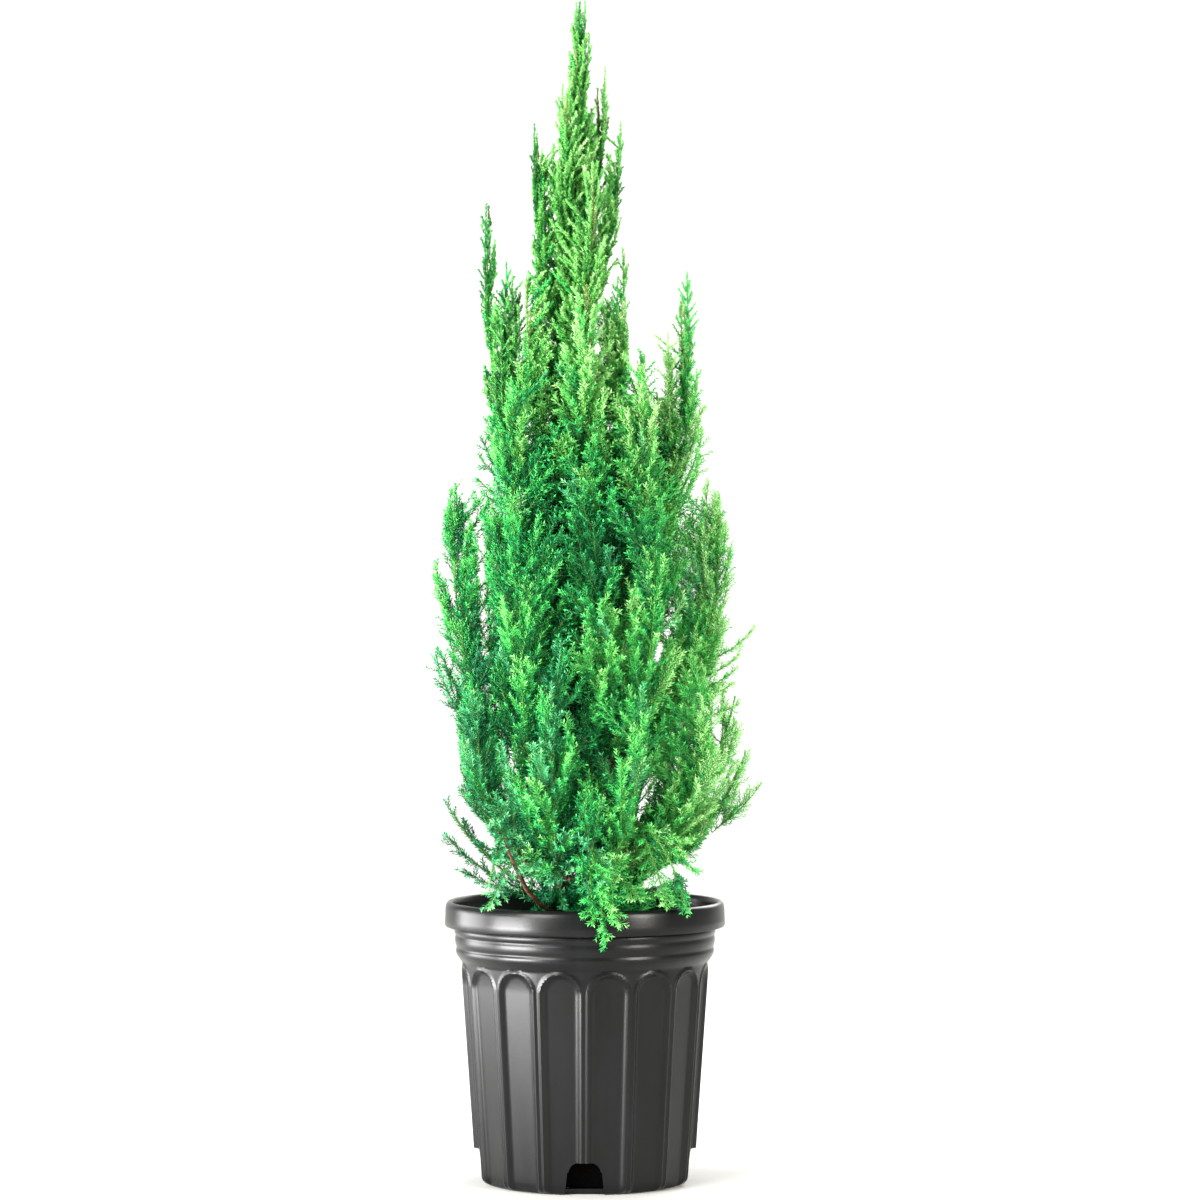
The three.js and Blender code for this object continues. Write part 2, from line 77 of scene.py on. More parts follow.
def colourStops(ramp, stops):
    while len(ramp.color_ramp.elements) < len(stops):
        ramp.color_ramp.elements.new(0.5)
    for element, (position, hexColour) in zip(ramp.color_ramp.elements, stops):
        element.position = position
        element.color = toLinear(hexColour)


# A material whose colours follow one noise pattern, stretched up the piece where asked
def grained(name, settings, grain, stops, stretch=None):
    material, shader = newMaterial(name, settings)
    place = addNode(material, "TexCoord")
    source = (place, "Object")
    if stretch:
        source = (addNode(material, "Mapping", {"Scale": (1, 1, stretch)}, {"Vector": source}), 0)
    pattern = addNode(material, "TexNoise", grain, {"Vector": source})
    tint = addNode(material, "ValToRGB", links={"Fac": (pattern, "Fac")})
    colourStops(tint, stops)
    linkInto(material, shader, {"Base Color": (tint, "Color")})
    return material, shader, place, pattern, tint


def addObject(name, data):
    thing = bpy.data.objects.new(name, data)
    bpy.context.scene.collection.objects.link(thing)
    return thing


def addPiece(name, mesh, material, nodes):
    piece = addObject(name, mesh)
    mesh.materials.clear()
    mesh.materials.append(material)
    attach(piece, "root")
    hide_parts(*nodes)


def meshOf(bm, name):
    mesh = bpy.data.meshes.new(name)
    bm.to_mesh(mesh)
    bm.free()
    return mesh


def finishedMesh(thing):  # with its modifiers or its bevel applied; the object goes
    mesh = bpy.data.meshes.new_from_object(thing.evaluated_get(bpy.context.evaluated_depsgraph_get()))
    bpy.data.objects.remove(thing)
    return mesh


def drawnLine(bm, points):
    verts = [bm.verts.new(point) for point in points]
    return verts, [bm.edges.new(pair) for pair in zip(verts, verts[1:])]


def vertsIn(geometry):
    return [part for part in geometry if isinstance(part, bmesh.types.BMVert)]


def turnOutwards(bm):
    bmesh.ops.recalc_face_normals(bm, faces=bm.faces[:])


def spunRound(section, steps):  # a closed shell from half a section, (radius, height) in millimetres
    bm = bmesh.new()
    verts, edges = drawnLine(bm, [(r * mm, 0, z * mm) for r, z in section])
    bmesh.ops.spin(
        bm, geom=verts + edges, cent=(0, 0, 0), axis=(0, 0, 1), angle=2 * math.pi, steps=steps, use_merge=True
    )
    bmesh.ops.remove_doubles(bm, verts=bm.verts[:], dist=1e-6)
    turnOutwards(bm)
    return bm


def smoothFaces(bm, creases=None):  # creases: degrees past which an edge stays sharp
    for face in bm.faces:
        face.smooth = True
    if creases:
        for edge in bm.edges:
            edge.smooth = edge.calc_face_angle(0) < math.radians(creases)


def between(ends, share):
    return ends[0] + (ends[1] - ends[0]) * share


def smoothStep(low, high, value):
    share = np.clip((value - low) / (high - low), 0, 1)
    return share * share * (3 - 2 * share)


def unitVectors(vectors):
    return vectors / np.maximum(np.linalg.norm(vectors, axis=-1, keepdims=True), 1e-12)


# Studio: camera square to the front, pale sweep, soft light from both sides and a little from behind

studio = {
    "cameraPlace": (0.0143, -3.627, 0.552),
    "lens": 114.3,
    "sensor": 36,
    "sweepColour": "#d4d4d2",
    "sweepFront": -6,
    "sweepBack": 2.6,
    "sweepRadius": 1.6,
    "sweepTop": 6,
    "sweepWidth": 14,
    "lights": {  # place, aim, width and height in metres, watts, colour
        "keyLeft": ((-2.1, -2.5, 1.5), (0, 0, 0.6), (1.5, 1.5), 140, "#fffaf2"),
        "stripLeft": ((-1.15, -0.66, 0.14), (0, 0, 0.04), (0.75, 0.28), 42, "#ffffff"),
        "edgeLeft": ((-1.5, 0.35, 0.2), (0, 0, 0.1), (0.9, 0.4), 20, "#ffffff"),
        "fillRight": ((2.6, -2.4, 1.3), (0, 0, 0.7), (1.0, 1.6), 122, "#fffaf0"),
        "rimBack": ((0.9, 1.7, 1.5), (0, 0, 0.7), (1.2, 1.2), 34, "#ffffff"),
        "sweepLight": ((0, 0.9, 3.4), (0, 4.0, 0.9), (4.0, 1.2), 150, "#ffffff"),
    },
    "ambient": 0.48,
}


def makeStudio():
    scene = bpy.context.scene
    camera = addObject("camera", bpy.data.cameras.new("camera"))
    camera.data.lens, camera.data.sensor_width = studio["lens"], studio["sensor"]
    camera.location, camera.rotation_euler = studio["cameraPlace"], (math.radians(90), 0, 0)
    scene.camera = camera

    bm = bmesh.new()
    back, radius, width = studio["sweepBack"], studio["sweepRadius"], studio["sweepWidth"]
    profile = [(studio["sweepFront"], 0), (back, 0)]
    for turn in np.linspace(0.1, math.pi / 2, 16):
        profile.append((back + radius * math.sin(turn), radius * (1 - math.cos(turn))))
    profile.append((back + radius, studio["sweepTop"]))
    _, edges = drawnLine(bm, [(-width / 2, y, z) for y, z in profile])
    grown = bmesh.ops.extrude_edge_only(bm, edges=edges)["geom"]
    bmesh.ops.translate(bm, vec=(width, 0, 0), verts=vertsIn(grown))
    turnOutwards(bm)
    smoothFaces(bm)
    sweep = addObject("sweep", meshOf(bm, "sweep"))
    paper, _ = newMaterial("paperSweep", {"Base Color": toLinear(studio["sweepColour"]), "Roughness": 0.9})
    sweep.data.materials.append(paper)

    for name, (place, aim, size, watts, colour) in studio["lights"].items():
        light = bpy.data.lights.new(name, "AREA")
        light.shape, light.energy, light.color = "RECTANGLE", watts, toLinear(colour)[:3]
        light.size, light.size_y = size
        lamp = addObject(name, light)
        lamp.location = place
        lamp.rotation_euler = (Vector(aim) - Vector(place)).to_track_quat("-Z", "Y").to_euler()

    world = bpy.data.worlds.new("softRoom")
    world.use_nodes = True
    room = world.node_tree.nodes["Background"].inputs
    room["Color"].default_value, room["Strength"].default_value = toLinear("#ffffff"), studio["ambient"]
    scene.world = world
    scene.view_settings.view_transform = "Standard"


makeStudio()
print("studio ready")


# Pot: millimetres, one half section spun about the axis, then fluted and notched

pot = {
    "height": 266,
    "footRadius": 102.5,
    "shoulderRadius": 117,
    "shoulderHeight": 209,
    "footRounding": 10,
    "bandRadii": (122.4, 124.6),  # at its foot and under the rim
    "bandRibs": (214.5, 222.7, 234.5, 241.8),  # heights of the grooves on either side of each rib
    "ribDepth": 1.5,
    "rimRadii": (133.3, 131.8),  # of the rim's skirt at its foot and at its top
    "rimFoot": 242.4,
    "wall": 5,
    "floor": 5,
    "flutes": 16,
    "stepsPerFlute": 24,
    "stepCrowding": 0.72,  # how much the steps gather towards the ribs
    "fluteShare": 0.82,  # of the pitch
    "fluteTop": 205.5,
    "fluteDepth": 2.7,
    "fluteEdge": 3.6,  # width of the rounded step into a flute
    "fluteScoop": 1.3,  # how much deeper its middle is
    "fluteLip": 1.1,  # height of the soft lip round a flute
    "lipWidth": 1.7,
    "notchWidths": (37, 30),  # at the ground and where its corners turn
    "notchHeight": 31,
    "notchCorner": 10,
    "notchFrom": -88,  # the cutter starts inside the wall and is pushed out through it
    "notchPush": -30,
    "creases": 38,
    "colour": "#060708",
    "dustColour": "#101214",
}


def bodyRadius(height):
    return pot["footRadius"] + (pot["shoulderRadius"] - pot["footRadius"]) * height / pot["shoulderHeight"]


def potProfile():
    rounding, foot, shoulder = pot["footRounding"], pot["footRadius"], pot["shoulderHeight"]
    outside = [(0, 0), (foot - rounding - 8, 0)]
    for angle in np.linspace(0, math.pi / 2, 7):
        outward, up = (rounding + 0.6) * math.sin(angle), rounding * (1 - math.cos(angle))
        outside.append((foot - rounding + outward, up))
    outside += [(bodyRadius(z), z) for z in (*np.arange(14, 174, 8), *np.arange(176, shoulder - 1, 1.3))]
    outside += [(pot["shoulderRadius"] + 0.2, shoulder), (pot["shoulderRadius"] + 1.6, shoulder + 1.4)]
    low, high = pot["bandRadii"]
    ribs = pot["bandRibs"]
    for start, end in zip(ribs, ribs[1:]):
        for share in np.linspace(0.06, 0.94, 8):
            z = between((start, end), share)
            base = low + (high - low) * (z - ribs[0]) / (ribs[-1] - ribs[0])
            outside.append((base - pot["ribDepth"] * (1 - math.sin(math.pi * share) ** 0.45), z))
    wide, narrow = pot["rimRadii"]
    skirt = ((2.4, -0.3), (0.7, 0.3), (0, 1.8), (0.3, 8))  # in and up from the foot of the rim
    # In and down from the top of the rim
    roll = ((-0.9, 7), (-0.5, 4.2), (0.2, 2), (1.6, 0.5), (3.2, 0), (4.8, 0.5), (5.8, 2), (6.2, 6))
    outside.append((high, pot["rimFoot"] - 0.3))
    outside += [(wide - inward, pot["rimFoot"] + up) for inward, up in skirt]
    outside += [(narrow - inward, pot["height"] - down) for inward, down in roll]
    wall, floor = pot["wall"], pot["floor"]
    inside = [(narrow - 6.6, pot["rimFoot"] + 4), (high - wall, pot["rimFoot"] - 3)]
    inside += [(pot["shoulderRadius"] - wall, shoulder - 2), (foot - wall, floor + 5)]
    return [*outside, *inside, (foot - wall - 4, floor), (0, floor)]


def fluteDepthAt(radius, angle, height):  # how deep a point of the outer wall is pressed in
    pitch = 2 * math.pi / pot["flutes"]
    across = abs((angle / pitch) % 1 - 0.5) * pitch * radius  # from the middle of the flute
    half = pot["fluteShare"] * pitch * radius / 2
    spring = pot["fluteTop"] - half  # above it the flute ends in an arch
    away = across if height < spring else math.hypot(across, height - spring)
    scoop = pot["fluteScoop"] * max(0, 1 - (away / half) ** 2)
    lip = pot["fluteLip"] * math.exp(-(((away - half) / pot["lipWidth"] - 0.6) ** 2))
    return (pot["fluteDepth"] + scoop) * float(smoothStep(0, pot["fluteEdge"], half - away)) - lip


def notchCutter():  # four arches that cut through the wall at the foot
    bm = bmesh.new()
    foot, spring, top = pot["notchWidths"][0] / 2, pot["notchWidths"][1] / 2, pot["notchHeight"]
    corner = pot["notchCorner"]
    arch = [(-foot, -2), (foot, -2), (spring + 1.2, top - corner)]
    for turn in np.linspace(0.15, 1.5, 6):
        arch.append((spring - corner + corner * math.cos(turn), top - corner + corner * math.sin(turn)))
    arch += [(-x, z) for x, z in reversed(arch[2:])]
    for quarter in range(4):
        turn = Matrix.Rotation(quarter * math.pi / 2, 4, "Z")
        ring = [bm.verts.new(turn @ Vector((x * mm, pot["notchFrom"] * mm, z * mm))) for x, z in arch]
        grown = bmesh.ops.extrude_face_region(bm, geom=[bm.faces.new(ring)])["geom"]
        push = turn.to_3x3() @ Vector((0, pot["notchPush"] * mm, 0))
        bmesh.ops.translate(bm, vec=push, verts=vertsIn(grown))
    turnOutwards(bm)
    return addObject("notches", meshOf(bm, "notches"))


def makePot():
    bm = spunRound(potProfile(), pot["flutes"] * pot["stepsPerFlute"])
    pitch = 2 * math.pi / pot["flutes"]
    for vert in bm.verts:  # steps gather where the ribs are, then the flutes are pressed in
        radius, angle = math.hypot(vert.co.x, vert.co.y), math.atan2(vert.co.y, vert.co.x)
        angle -= pot["stepCrowding"] * math.sin(2 * math.pi * angle / pitch) * pitch / (2 * math.pi)
        vert.co.x, vert.co.y = radius * math.cos(angle), radius * math.sin(angle)
        radius, height = math.hypot(vert.co.x, vert.co.y) / mm, vert.co.z / mm
        skin = bodyRadius(height) - 1.5 - pot["footRounding"] * (height < 9)
        if height < pot["shoulderHeight"] - 1 and radius > skin:
            pressed = fluteDepthAt(radius, math.atan2(vert.co.y, vert.co.x), height)
            pressed *= float(smoothStep(0, 5, height))
            vert.co.x *= 1 - pressed / radius
            vert.co.y *= 1 - pressed / radius
    body, cutter = addObject("pot_shell", meshOf(bm, "pot_shell")), notchCutter()
    cut = body.modifiers.new("drainNotches", "BOOLEAN")
    cut.operation, cut.solver, cut.object = "DIFFERENCE", "EXACT", cutter
    bm = bmesh.new()
    bm.from_mesh(finishedMesh(body))
    bpy.data.objects.remove(cutter)
    smoothFaces(bm, pot["creases"])
    addPiece("pot_shell", meshOf(bm, "pot_shell"), blackNurseryPlastic(), ["pot"])


# Blow-moulded recycled HDPE: satin black, a little dusty, with fine orange peel from the mould
def blackNurseryPlastic():
    material, shader = newMaterial("blackNurseryPlastic", {"IOR": 1.53, "Specular IOR Level": 0.26})
    place = addNode(material, "TexCoord")
    drawn = addNode(material, "Mapping", {"Scale": (1, 1, 0.12)}, {"Vector": (place, "Object")})
    uneven = {"Scale": 55, "Detail": 5, "Roughness": 0.6}
    streaks = addNode(material, "TexNoise", uneven, {"Vector": (drawn, 0)})
    dust = addNode(material, "TexNoise", {"Scale": 14, "Detail": 6}, {"Vector": (place, "Object")})
    both = addNode(material, "Math", {"operation": "MULTIPLY"}, {0: (streaks, "Fac"), 1: (dust, "Fac")})
    tint = addNode(material, "ValToRGB", links={"Fac": (both, 0)})
    colourStops(tint, [(0.18, pot["colour"]), (0.52, pot["dustColour"])])
    gloss = addNode(material, "MapRange", {"To Min": 0.25, "To Max": 0.33}, {"Value": (streaks, "Fac")})
    peel = addNode(material, "TexNoise", {"Scale": 420, "Detail": 3}, {"Vector": (place, "Object")})  # 2.4 mm
    bump = addNode(material, "Bump", {"Strength": 0.07, "Distance": 0.0006}, {"Height": (peel, "Fac")})
    finish = {"Base Color": (tint, "Color"), "Roughness": (gloss, "Result"), "Normal": (bump, "Normal")}
    linkInto(material, shader, finish)
    return material


makePot()
print("pot made")


# Potting mix: a rough bed with shreds of bark on it

soil = {
    "rimHeight": 241.5,
    "rimRadius": 118.6,
    "moundHeight": 248,
    "moundRadius": 22,
    "footRadius": 96,
    "roughness": 2.2,
    "chips": 950,
    "chipLength": (5, 15),
    "chipKinds": 6,
    "colours": ("#1f1610", "#3b291d", "#5c4331"),
    "chipColours": ("#3a2417", "#6d4a34"),
    "chipsWithin": 116,  # of the axis
    "seed": 41,
}


def soilHeight(x, y):  # millimetres
    rise = float(smoothStep(105, soil["moundRadius"], math.hypot(x, y)))
    mound = between((soil["rimHeight"], soil["moundHeight"]), rise)
    spot = Vector((x, y, 0))
    return mound + soil["roughness"] * (noise.noise(spot / 14) + 0.5 * noise.noise(spot / 5)) - 0.6


def makeSoil():
    section = [(0, 5.4), (82, 5.4), (86, 40), (soil["footRadius"] + 3, 84), (111.4, 205)]
    section.append((soil["rimRadius"], 236))
    section += [(r, 241) for r in (*np.linspace(soil["rimRadius"], 6, 40), 0)]
    bm = spunRound(section, 96)
    for vert in bm.verts:
        if vert.co.z > 240 * mm:
            vert.co.z = soilHeight(vert.co.x / mm, vert.co.y / mm) * mm
    smoothFaces(bm)
    mix = pottingMix("pottingMix", soil["colours"])
    addPiece("soil_bed", meshOf(bm, "soil_bed"), mix, ["soil"])

    draw = np.random.default_rng(soil["seed"])
    kinds = []
    for _ in range(soil["chipKinds"]):
        bm = bmesh.new()
        bmesh.ops.create_icosphere(bm, subdivisions=1, radius=0.5)
        for vert in bm.verts:
            vert.co += Vector(draw.uniform(-0.16, 0.16, 3))
        bmesh.ops.scale(bm, vec=(1, 0.38, 0.2), verts=bm.verts[:])
        kinds.append(arraysOf(bm))
    radii = soil["chipsWithin"] * np.sqrt(draw.random(soil["chips"]))
    angles = draw.uniform(0, 2 * math.pi, soil["chips"])
    origins, bases, picks = [], [], []
    for radius, angle in zip(radii, angles):
        x, y = radius * math.cos(angle), radius * math.sin(angle)
        turn = Matrix.Rotation(draw.uniform(0, 6.3), 3, "Z") @ Matrix.Rotation(draw.normal(0, 0.3), 3, "Y")
        turn = turn @ Matrix.Rotation(draw.normal(0, 0.5), 3, "X")
        origins.append((x, y, soilHeight(x, y) + 0.4))
        bases.append(np.array(turn) * draw.uniform(*soil["chipLength"]))
        picks.append(draw.integers(soil["chipKinds"]))
    origins, bases, picks = np.array(origins), np.array(bases), np.array(picks)
    parts = [placeCopies(*kind, origins[picks == k], bases[picks == k]) for k, kind in enumerate(kinds)]
    mix = pottingMix("shreddedBark", soil["chipColours"])
    addPiece("bark_chips", joinedMesh("bark_chips", parts), mix, ["soil"])


# Vertices and triangles of a small bmesh, as arrays
def arraysOf(bm):
    bmesh.ops.triangulate(bm, faces=bm.faces[:])
    bm.verts.index_update()
    points = np.array([v.co for v in bm.verts])
    corners = np.array([[v.index for v in face.verts] for face in bm.faces])
    bm.free()
    return points, corners


# Copies of a small shape at origins in millimetres, each with its own 3 x 3 basis and maybe its own points
def placeCopies(points, corners, origins, bases):
    shapes = np.broadcast_to(points, (len(origins), *points.shape[-2:]))
    placed = origins[:, None, :] + np.einsum("nij,npj->npi", bases, shapes)
    indices = corners[None] + (np.arange(len(origins)) * points.shape[-2])[:, None, None]
    return placed.reshape(-1, 3), indices.reshape(-1, 3)


def joinedMesh(name, parts):
    offsets = np.cumsum([0] + [len(points) for points, _ in parts[:-1]])
    points = np.concatenate([points for points, _ in parts]) * mm
    corners = np.concatenate([corners + offset for (_, corners), offset in zip(parts, offsets)])
    mesh = bpy.data.meshes.new(name)
    mesh.vertices.add(len(points))
    mesh.vertices.foreach_set("co", points.astype(np.float32).ravel())
    mesh.loops.add(corners.size)
    mesh.loops.foreach_set("vertex_index", corners.astype(np.int32).ravel())
    mesh.polygons.add(len(corners))
    mesh.polygons.foreach_set("loop_start", np.arange(0, corners.size, 3, dtype=np.int32))
    mesh.update(calc_edges=True)
    return mesh


# Moist shredded bark and peat: dark, matt and crumbly, painted nearly black towards the foot as the shade
# inside the pot, where it shows through the notches
def pottingMix(name, colours):
    matt = {"Roughness": 0.95, "IOR": 1.45, "Specular IOR Level": 0.1}
    stops = list(zip(np.linspace(0.32, 0.7, len(colours)), colours))
    grain = {"Scale": 260, "Detail": 5}  # 4 mm
    material, shader, place, crumbs, tint = grained(name, matt, grain, stops)
    height = addNode(material, "SeparateXYZ", links={0: (place, "Object")})
    # painted shade: the mix darkens to nearly black low down in the pot
    footShadeRange = {"From Min": 0.06, "From Max": 0.22, "To Min": 0.012}
    paintedFootShade = addNode(material, "MapRange", footShadeRange, {"Value": (height, "Z")})
    shading = {0: (tint, "Color"), "Scale": (paintedFootShade, "Result")}
    shade = addNode(material, "VectorMath", {"operation": "SCALE"}, shading)
    bump = addNode(material, "Bump", {"Strength": 0.7, "Distance": 0.002}, {"Height": (crumbs, "Fac")})
    linkInto(material, shader, {"Base Color": (shade, "Vector"), "Normal": (bump, "Normal")})
    return material


makeSoil()
print("potting mix made")


# Limbs: the same table and curves as the solids. A plume is (azimuth, reach, top, root, half width)

trunk = {
    "foot": 248.3,
    "top": 960,
    "leans": (-14, -6),  # x at its foot and top
    "bow": -20,
    "bowPlace": 0.7,
    "sway": 4,
    "radii": (7.5, 1.9),
    "flare": 4.5,
    "flareHeight": 14,
}

limbShape = {"rootShare": 0.5, "rootRadius": 3.4, "tipRadius": 0.9, "taper": 0.8}

tiers = {  # (belly, rise, lift) of a plume's line, the bare share at its foot, and the plumes
    "spire": ((1, 0.3, 0), 0, {
        "left": (184, 46, 1001, 790, 22), "right": (9, 34, 1002, 806, 22),
        "back_right": (52, 30, 1056, 872, 17), "front_left": (228, 27, 1036, 850, 17),
        "back": (112, 42, 985, 776, 22), "front": (-80, 42, 958, 750, 24),
    }),
    "shoulder": ((1.08, 0.2, 0), 0, {
        "right": (-8, 44, 883, 690, 26), "left": (203, 60, 874, 668, 26),
        "front": (-88, 60, 846, 630, 30), "back": (100, 66, 880, 646, 30),
        "back_left": (146, 94, 808, 560, 30), "back_right": (50, 84, 800, 580, 30),
    }),
    "arm": ((1.14, 0.14, 0), 0, {
        "left": (178, 92, 926, 620, 24), "right": (3, 97, 863, 540, 32),
        "front_right": (-45, 76, 772, 500, 32), "front_left": (220, 88, 757, 480, 32),
    }),
    "heart": ((1.2, 0.2, 0), 0, {
        "front": (-75, 50, 660, 440, 34), "back_left": (140, 54, 690, 460, 34),
        "right": (25, 84, 676, 420, 34), "front_left": (-124, 72, 552, 366, 30),
        "front_right": (-78, 82, 566, 326, 32),
    }),
    "middle": ((1.14, 0.14, 0), 0.16, {
        "left": (181, 123, 673, 356, 34), "right": (-4, 126, 676, 372, 34),
        "right_back": (35, 138, 640, 352, 36), "back": (86, 126, 690, 400, 36),
        "left_back": (138, 128, 650, 376, 36), "front_left": (236, 106, 585, 340, 36),
        "front_right": (-55, 110, 608, 366, 36),
    }),
    "low": ((0.94, 0.06, 0), 0.18, {
        "right": (4, 151, 523, 300, 26), "right_front": (-33, 142, 466, 284, 34),
        "front_right": (-66, 130, 446, 276, 34), "front_left": (-104, 126, 474, 280, 34),
        "left_front": (214, 126, 480, 290, 36), "left_back": (162, 128, 478, 282, 36),
        "back": (110, 136, 456, 272, 36), "back_right": (60, 138, 470, 284, 36),
    }),
    "outrigger": ((0.6, 0.22, 0), 0, {
        "right": (-8, 168, 378, 264, 24), "left": (188, 134, 362, 262, 24),
    }),
    "skirt": ((0.75, 0, 92), 0, {
        "front": (-83, 152, 236, 296, 26), "front_right": (-50, 150, 254, 311, 26),
        "front_left": (230, 140, 276, 306, 24),
    }),
}
leader = {"top": 1120, "lean": 1, "halfWidth": 20}
plumeShape = {"swell": 0.4, "footShare": 0.9, "tipShare": 0.28, "taper": 1.8}


def trunkClimb(height):
    return (height - trunk["foot"]) / (trunk["top"] - trunk["foot"])


def trunkCentre(height):
    climb = trunkClimb(height)
    x = between(trunk["leans"], climb) + trunk["bow"] * math.sin(math.pi * climb ** trunk["bowPlace"])
    return np.array((x, trunk["sway"] * math.sin(2 * math.pi * climb), height))


def trunkRadius(height):
    flare = trunk["flare"] * math.exp((trunk["foot"] - height) / trunk["flareHeight"])
    return between(trunk["radii"], trunkClimb(height)) + flare


def newLimb(name, curve, bough, halfWidth, rootRadius, seed):
    steps = np.linspace(0, 1, 201)
    points = bezier(*curve, steps[:, None])
    lengths = np.concatenate([[0], np.cumsum(np.linalg.norm(np.diff(points, axis=0), axis=1))])
    limb = {
        "name": name, "curve": curve, "bough": bough, "halfWidth": halfWidth, "rootRadius": rootRadius,
        "seed": seed, "steps": steps, "lengths": lengths, "length": lengths[-1],
    }
    limb["beside"] = unitVectors(np.cross((0, 0, 1), (curve[2] - curve[0]) * (1, 1, 0)))
    along = np.linspace(0, 1, 25)
    limb["axis"] = pointsAt(limb, bough + (1 - bough) * along)
    limb["widths"] = widthAt(limb, along)
    return limb


def bezier(foot, bend, tip, t):
    return (1 - t) ** 2 * foot + 2 * t * (1 - t) * bend + t**2 * tip


def stepsAt(limb, shares):  # the curve's own parameter at shares of its length
    return np.interp(np.asarray(shares) * limb["length"], limb["lengths"], limb["steps"])[..., None]


def pointsAt(limb, shares):
    return bezier(*limb["curve"], stepsAt(limb, shares))


def tangentsAt(limb, shares):
    t = stepsAt(limb, shares)
    foot, bend, tip = limb["curve"]
    return unitVectors((1 - t) * (bend - foot) + t * (tip - bend))


def widthAt(limb, along):  # along its feathered part
    foot, tip = plumeShape["footShare"], plumeShape["tipShare"]
    swell = foot + (1 - foot) * np.minimum(1, along / plumeShape["swell"])
    return limb["halfWidth"] * swell * (1 - (1 - tip) * along ** plumeShape["taper"])


def radiusAt(limb, share):
    return between((limb["rootRadius"], limbShape["tipRadius"]), share ** limbShape["taper"])


def growLimbs():
    limbs = []
    for tier, ((belly, rise, lift), bough, plumes) in tiers.items():
        for side, (azimuth, reach, top, root, halfWidth) in plumes.items():
            foot = trunkCentre(root)
            angle = math.radians(azimuth)
            tip = np.array((reach * math.cos(angle), reach * math.sin(angle), top))
            bend = foot + (tip - foot) * belly
            bend[2] = between((root, top), rise) + lift
            rootRadius = min(limbShape["rootRadius"], trunkRadius(root) * limbShape["rootShare"])
            seed = len(limbs) + 1
            limbs.append(newLimb(f"{tier}_{side}", (foot, bend, tip), bough, halfWidth, rootRadius, seed))
    foot = trunkCentre(trunk["top"]) + (0, 0, 0.3)
    tip = np.array((foot[0] + leader["lean"], 0, leader["top"]))
    line = (foot, (foot + tip) / 2, tip)
    limbs.append(newLimb("leader", line, 0, leader["halfWidth"], trunk["radii"][1], len(limbs) + 1))
    return limbs


limbs = growLimbs()
limbNames = [limb["name"] for limb in limbs]
foliageNodes = [f"foliage_{name}" for name in limbNames]
print("limbs:", len(limbs))


# Wood: tubes swept along the limbs, with their bark raised in strips

bark = {
    "trunkSides": 56,
    "trunkStep": 1.7,
    "boughSides": 20,
    "boughStep": 1.6,
    "relief": 0.95,  # millimetres on the trunk
    "boughRelief": 0.4,
    "stripWidth": 3.4,
    "stretch": 9,  # a strip's length over its width
    "knots": ((0.36, 250, 3.2), (0.52, 110, 2.6), (0.2, 300, 3.4), (0.66, 215, 2.2)),  # share, azimuth, size
    "colours": ("#3a2318", "#6e4632", "#96705a"),
}


def sweepTube(name, lines, sides):  # lines are lists of (point, radius) in millimetres
    curve = bpy.data.curves.new(name, "CURVE")
    curve.dimensions = "3D"
    curve.bevel_depth = mm
    curve.bevel_resolution = max(0, (sides - 4) // 2)
    curve.use_fill_caps = True
    for line in lines:
        spline = curve.splines.new("POLY")
        spline.points.add(len(line) - 1)
        for place, (point, radius) in zip(spline.points, line):
            place.co, place.radius = (*(np.asarray(point) * mm), 1), radius
    return finishedMesh(addObject(name, curve))


def raiseBark(mesh, direction, relief, extra=None):
    bm = bmesh.new()
    bm.from_mesh(mesh)
    bmesh.ops.remove_doubles(bm, verts=bm.verts[:], dist=1e-7)
    turnOutwards(bm)
    bm.normal_update()
    direction = Vector(direction).normalized()
    width = bark["stripWidth"]
    for vert in bm.verts:
        spot = vert.co / mm
        drawn = spot - direction * spot.dot(direction) * (1 - 1 / bark["stretch"])
        strips = 1 - 2.2 * abs(noise.noise(drawn / width))
        flakes = noise.noise(drawn / (0.45 * width) + Vector((9, 4, 2)))
        push = relief * (0.75 * strips + 0.35 * flakes - 0.35)
        if extra:
            push += extra(spot)
        vert.co += vert.normal * push * mm
    smoothFaces(bm)
    bm.to_mesh(mesh)
    bm.free()
    return mesh


def trunkLobes(spot):  # root flare in lobes, and knots
    centre = trunkCentre(min(max(spot.z, trunk["foot"]), trunk["top"]))
    around = math.atan2(spot.y - centre[1], spot.x - centre[0])
    swell = 2.6 * math.cos(4 * around + 0.8) * math.exp(-max(spot.z - trunk["foot"], 0) / 9)
    for share, azimuth, size in bark["knots"]:
        away = math.remainder(around - math.radians(azimuth), 2 * math.pi) * trunkRadius(spot.z)
        rise = (trunkClimb(spot.z) - share) * (trunk["top"] - trunk["foot"])
        swell += size * 0.8 * math.exp(-(away**2 + rise**2 / 2.5) / size**2)
    return swell


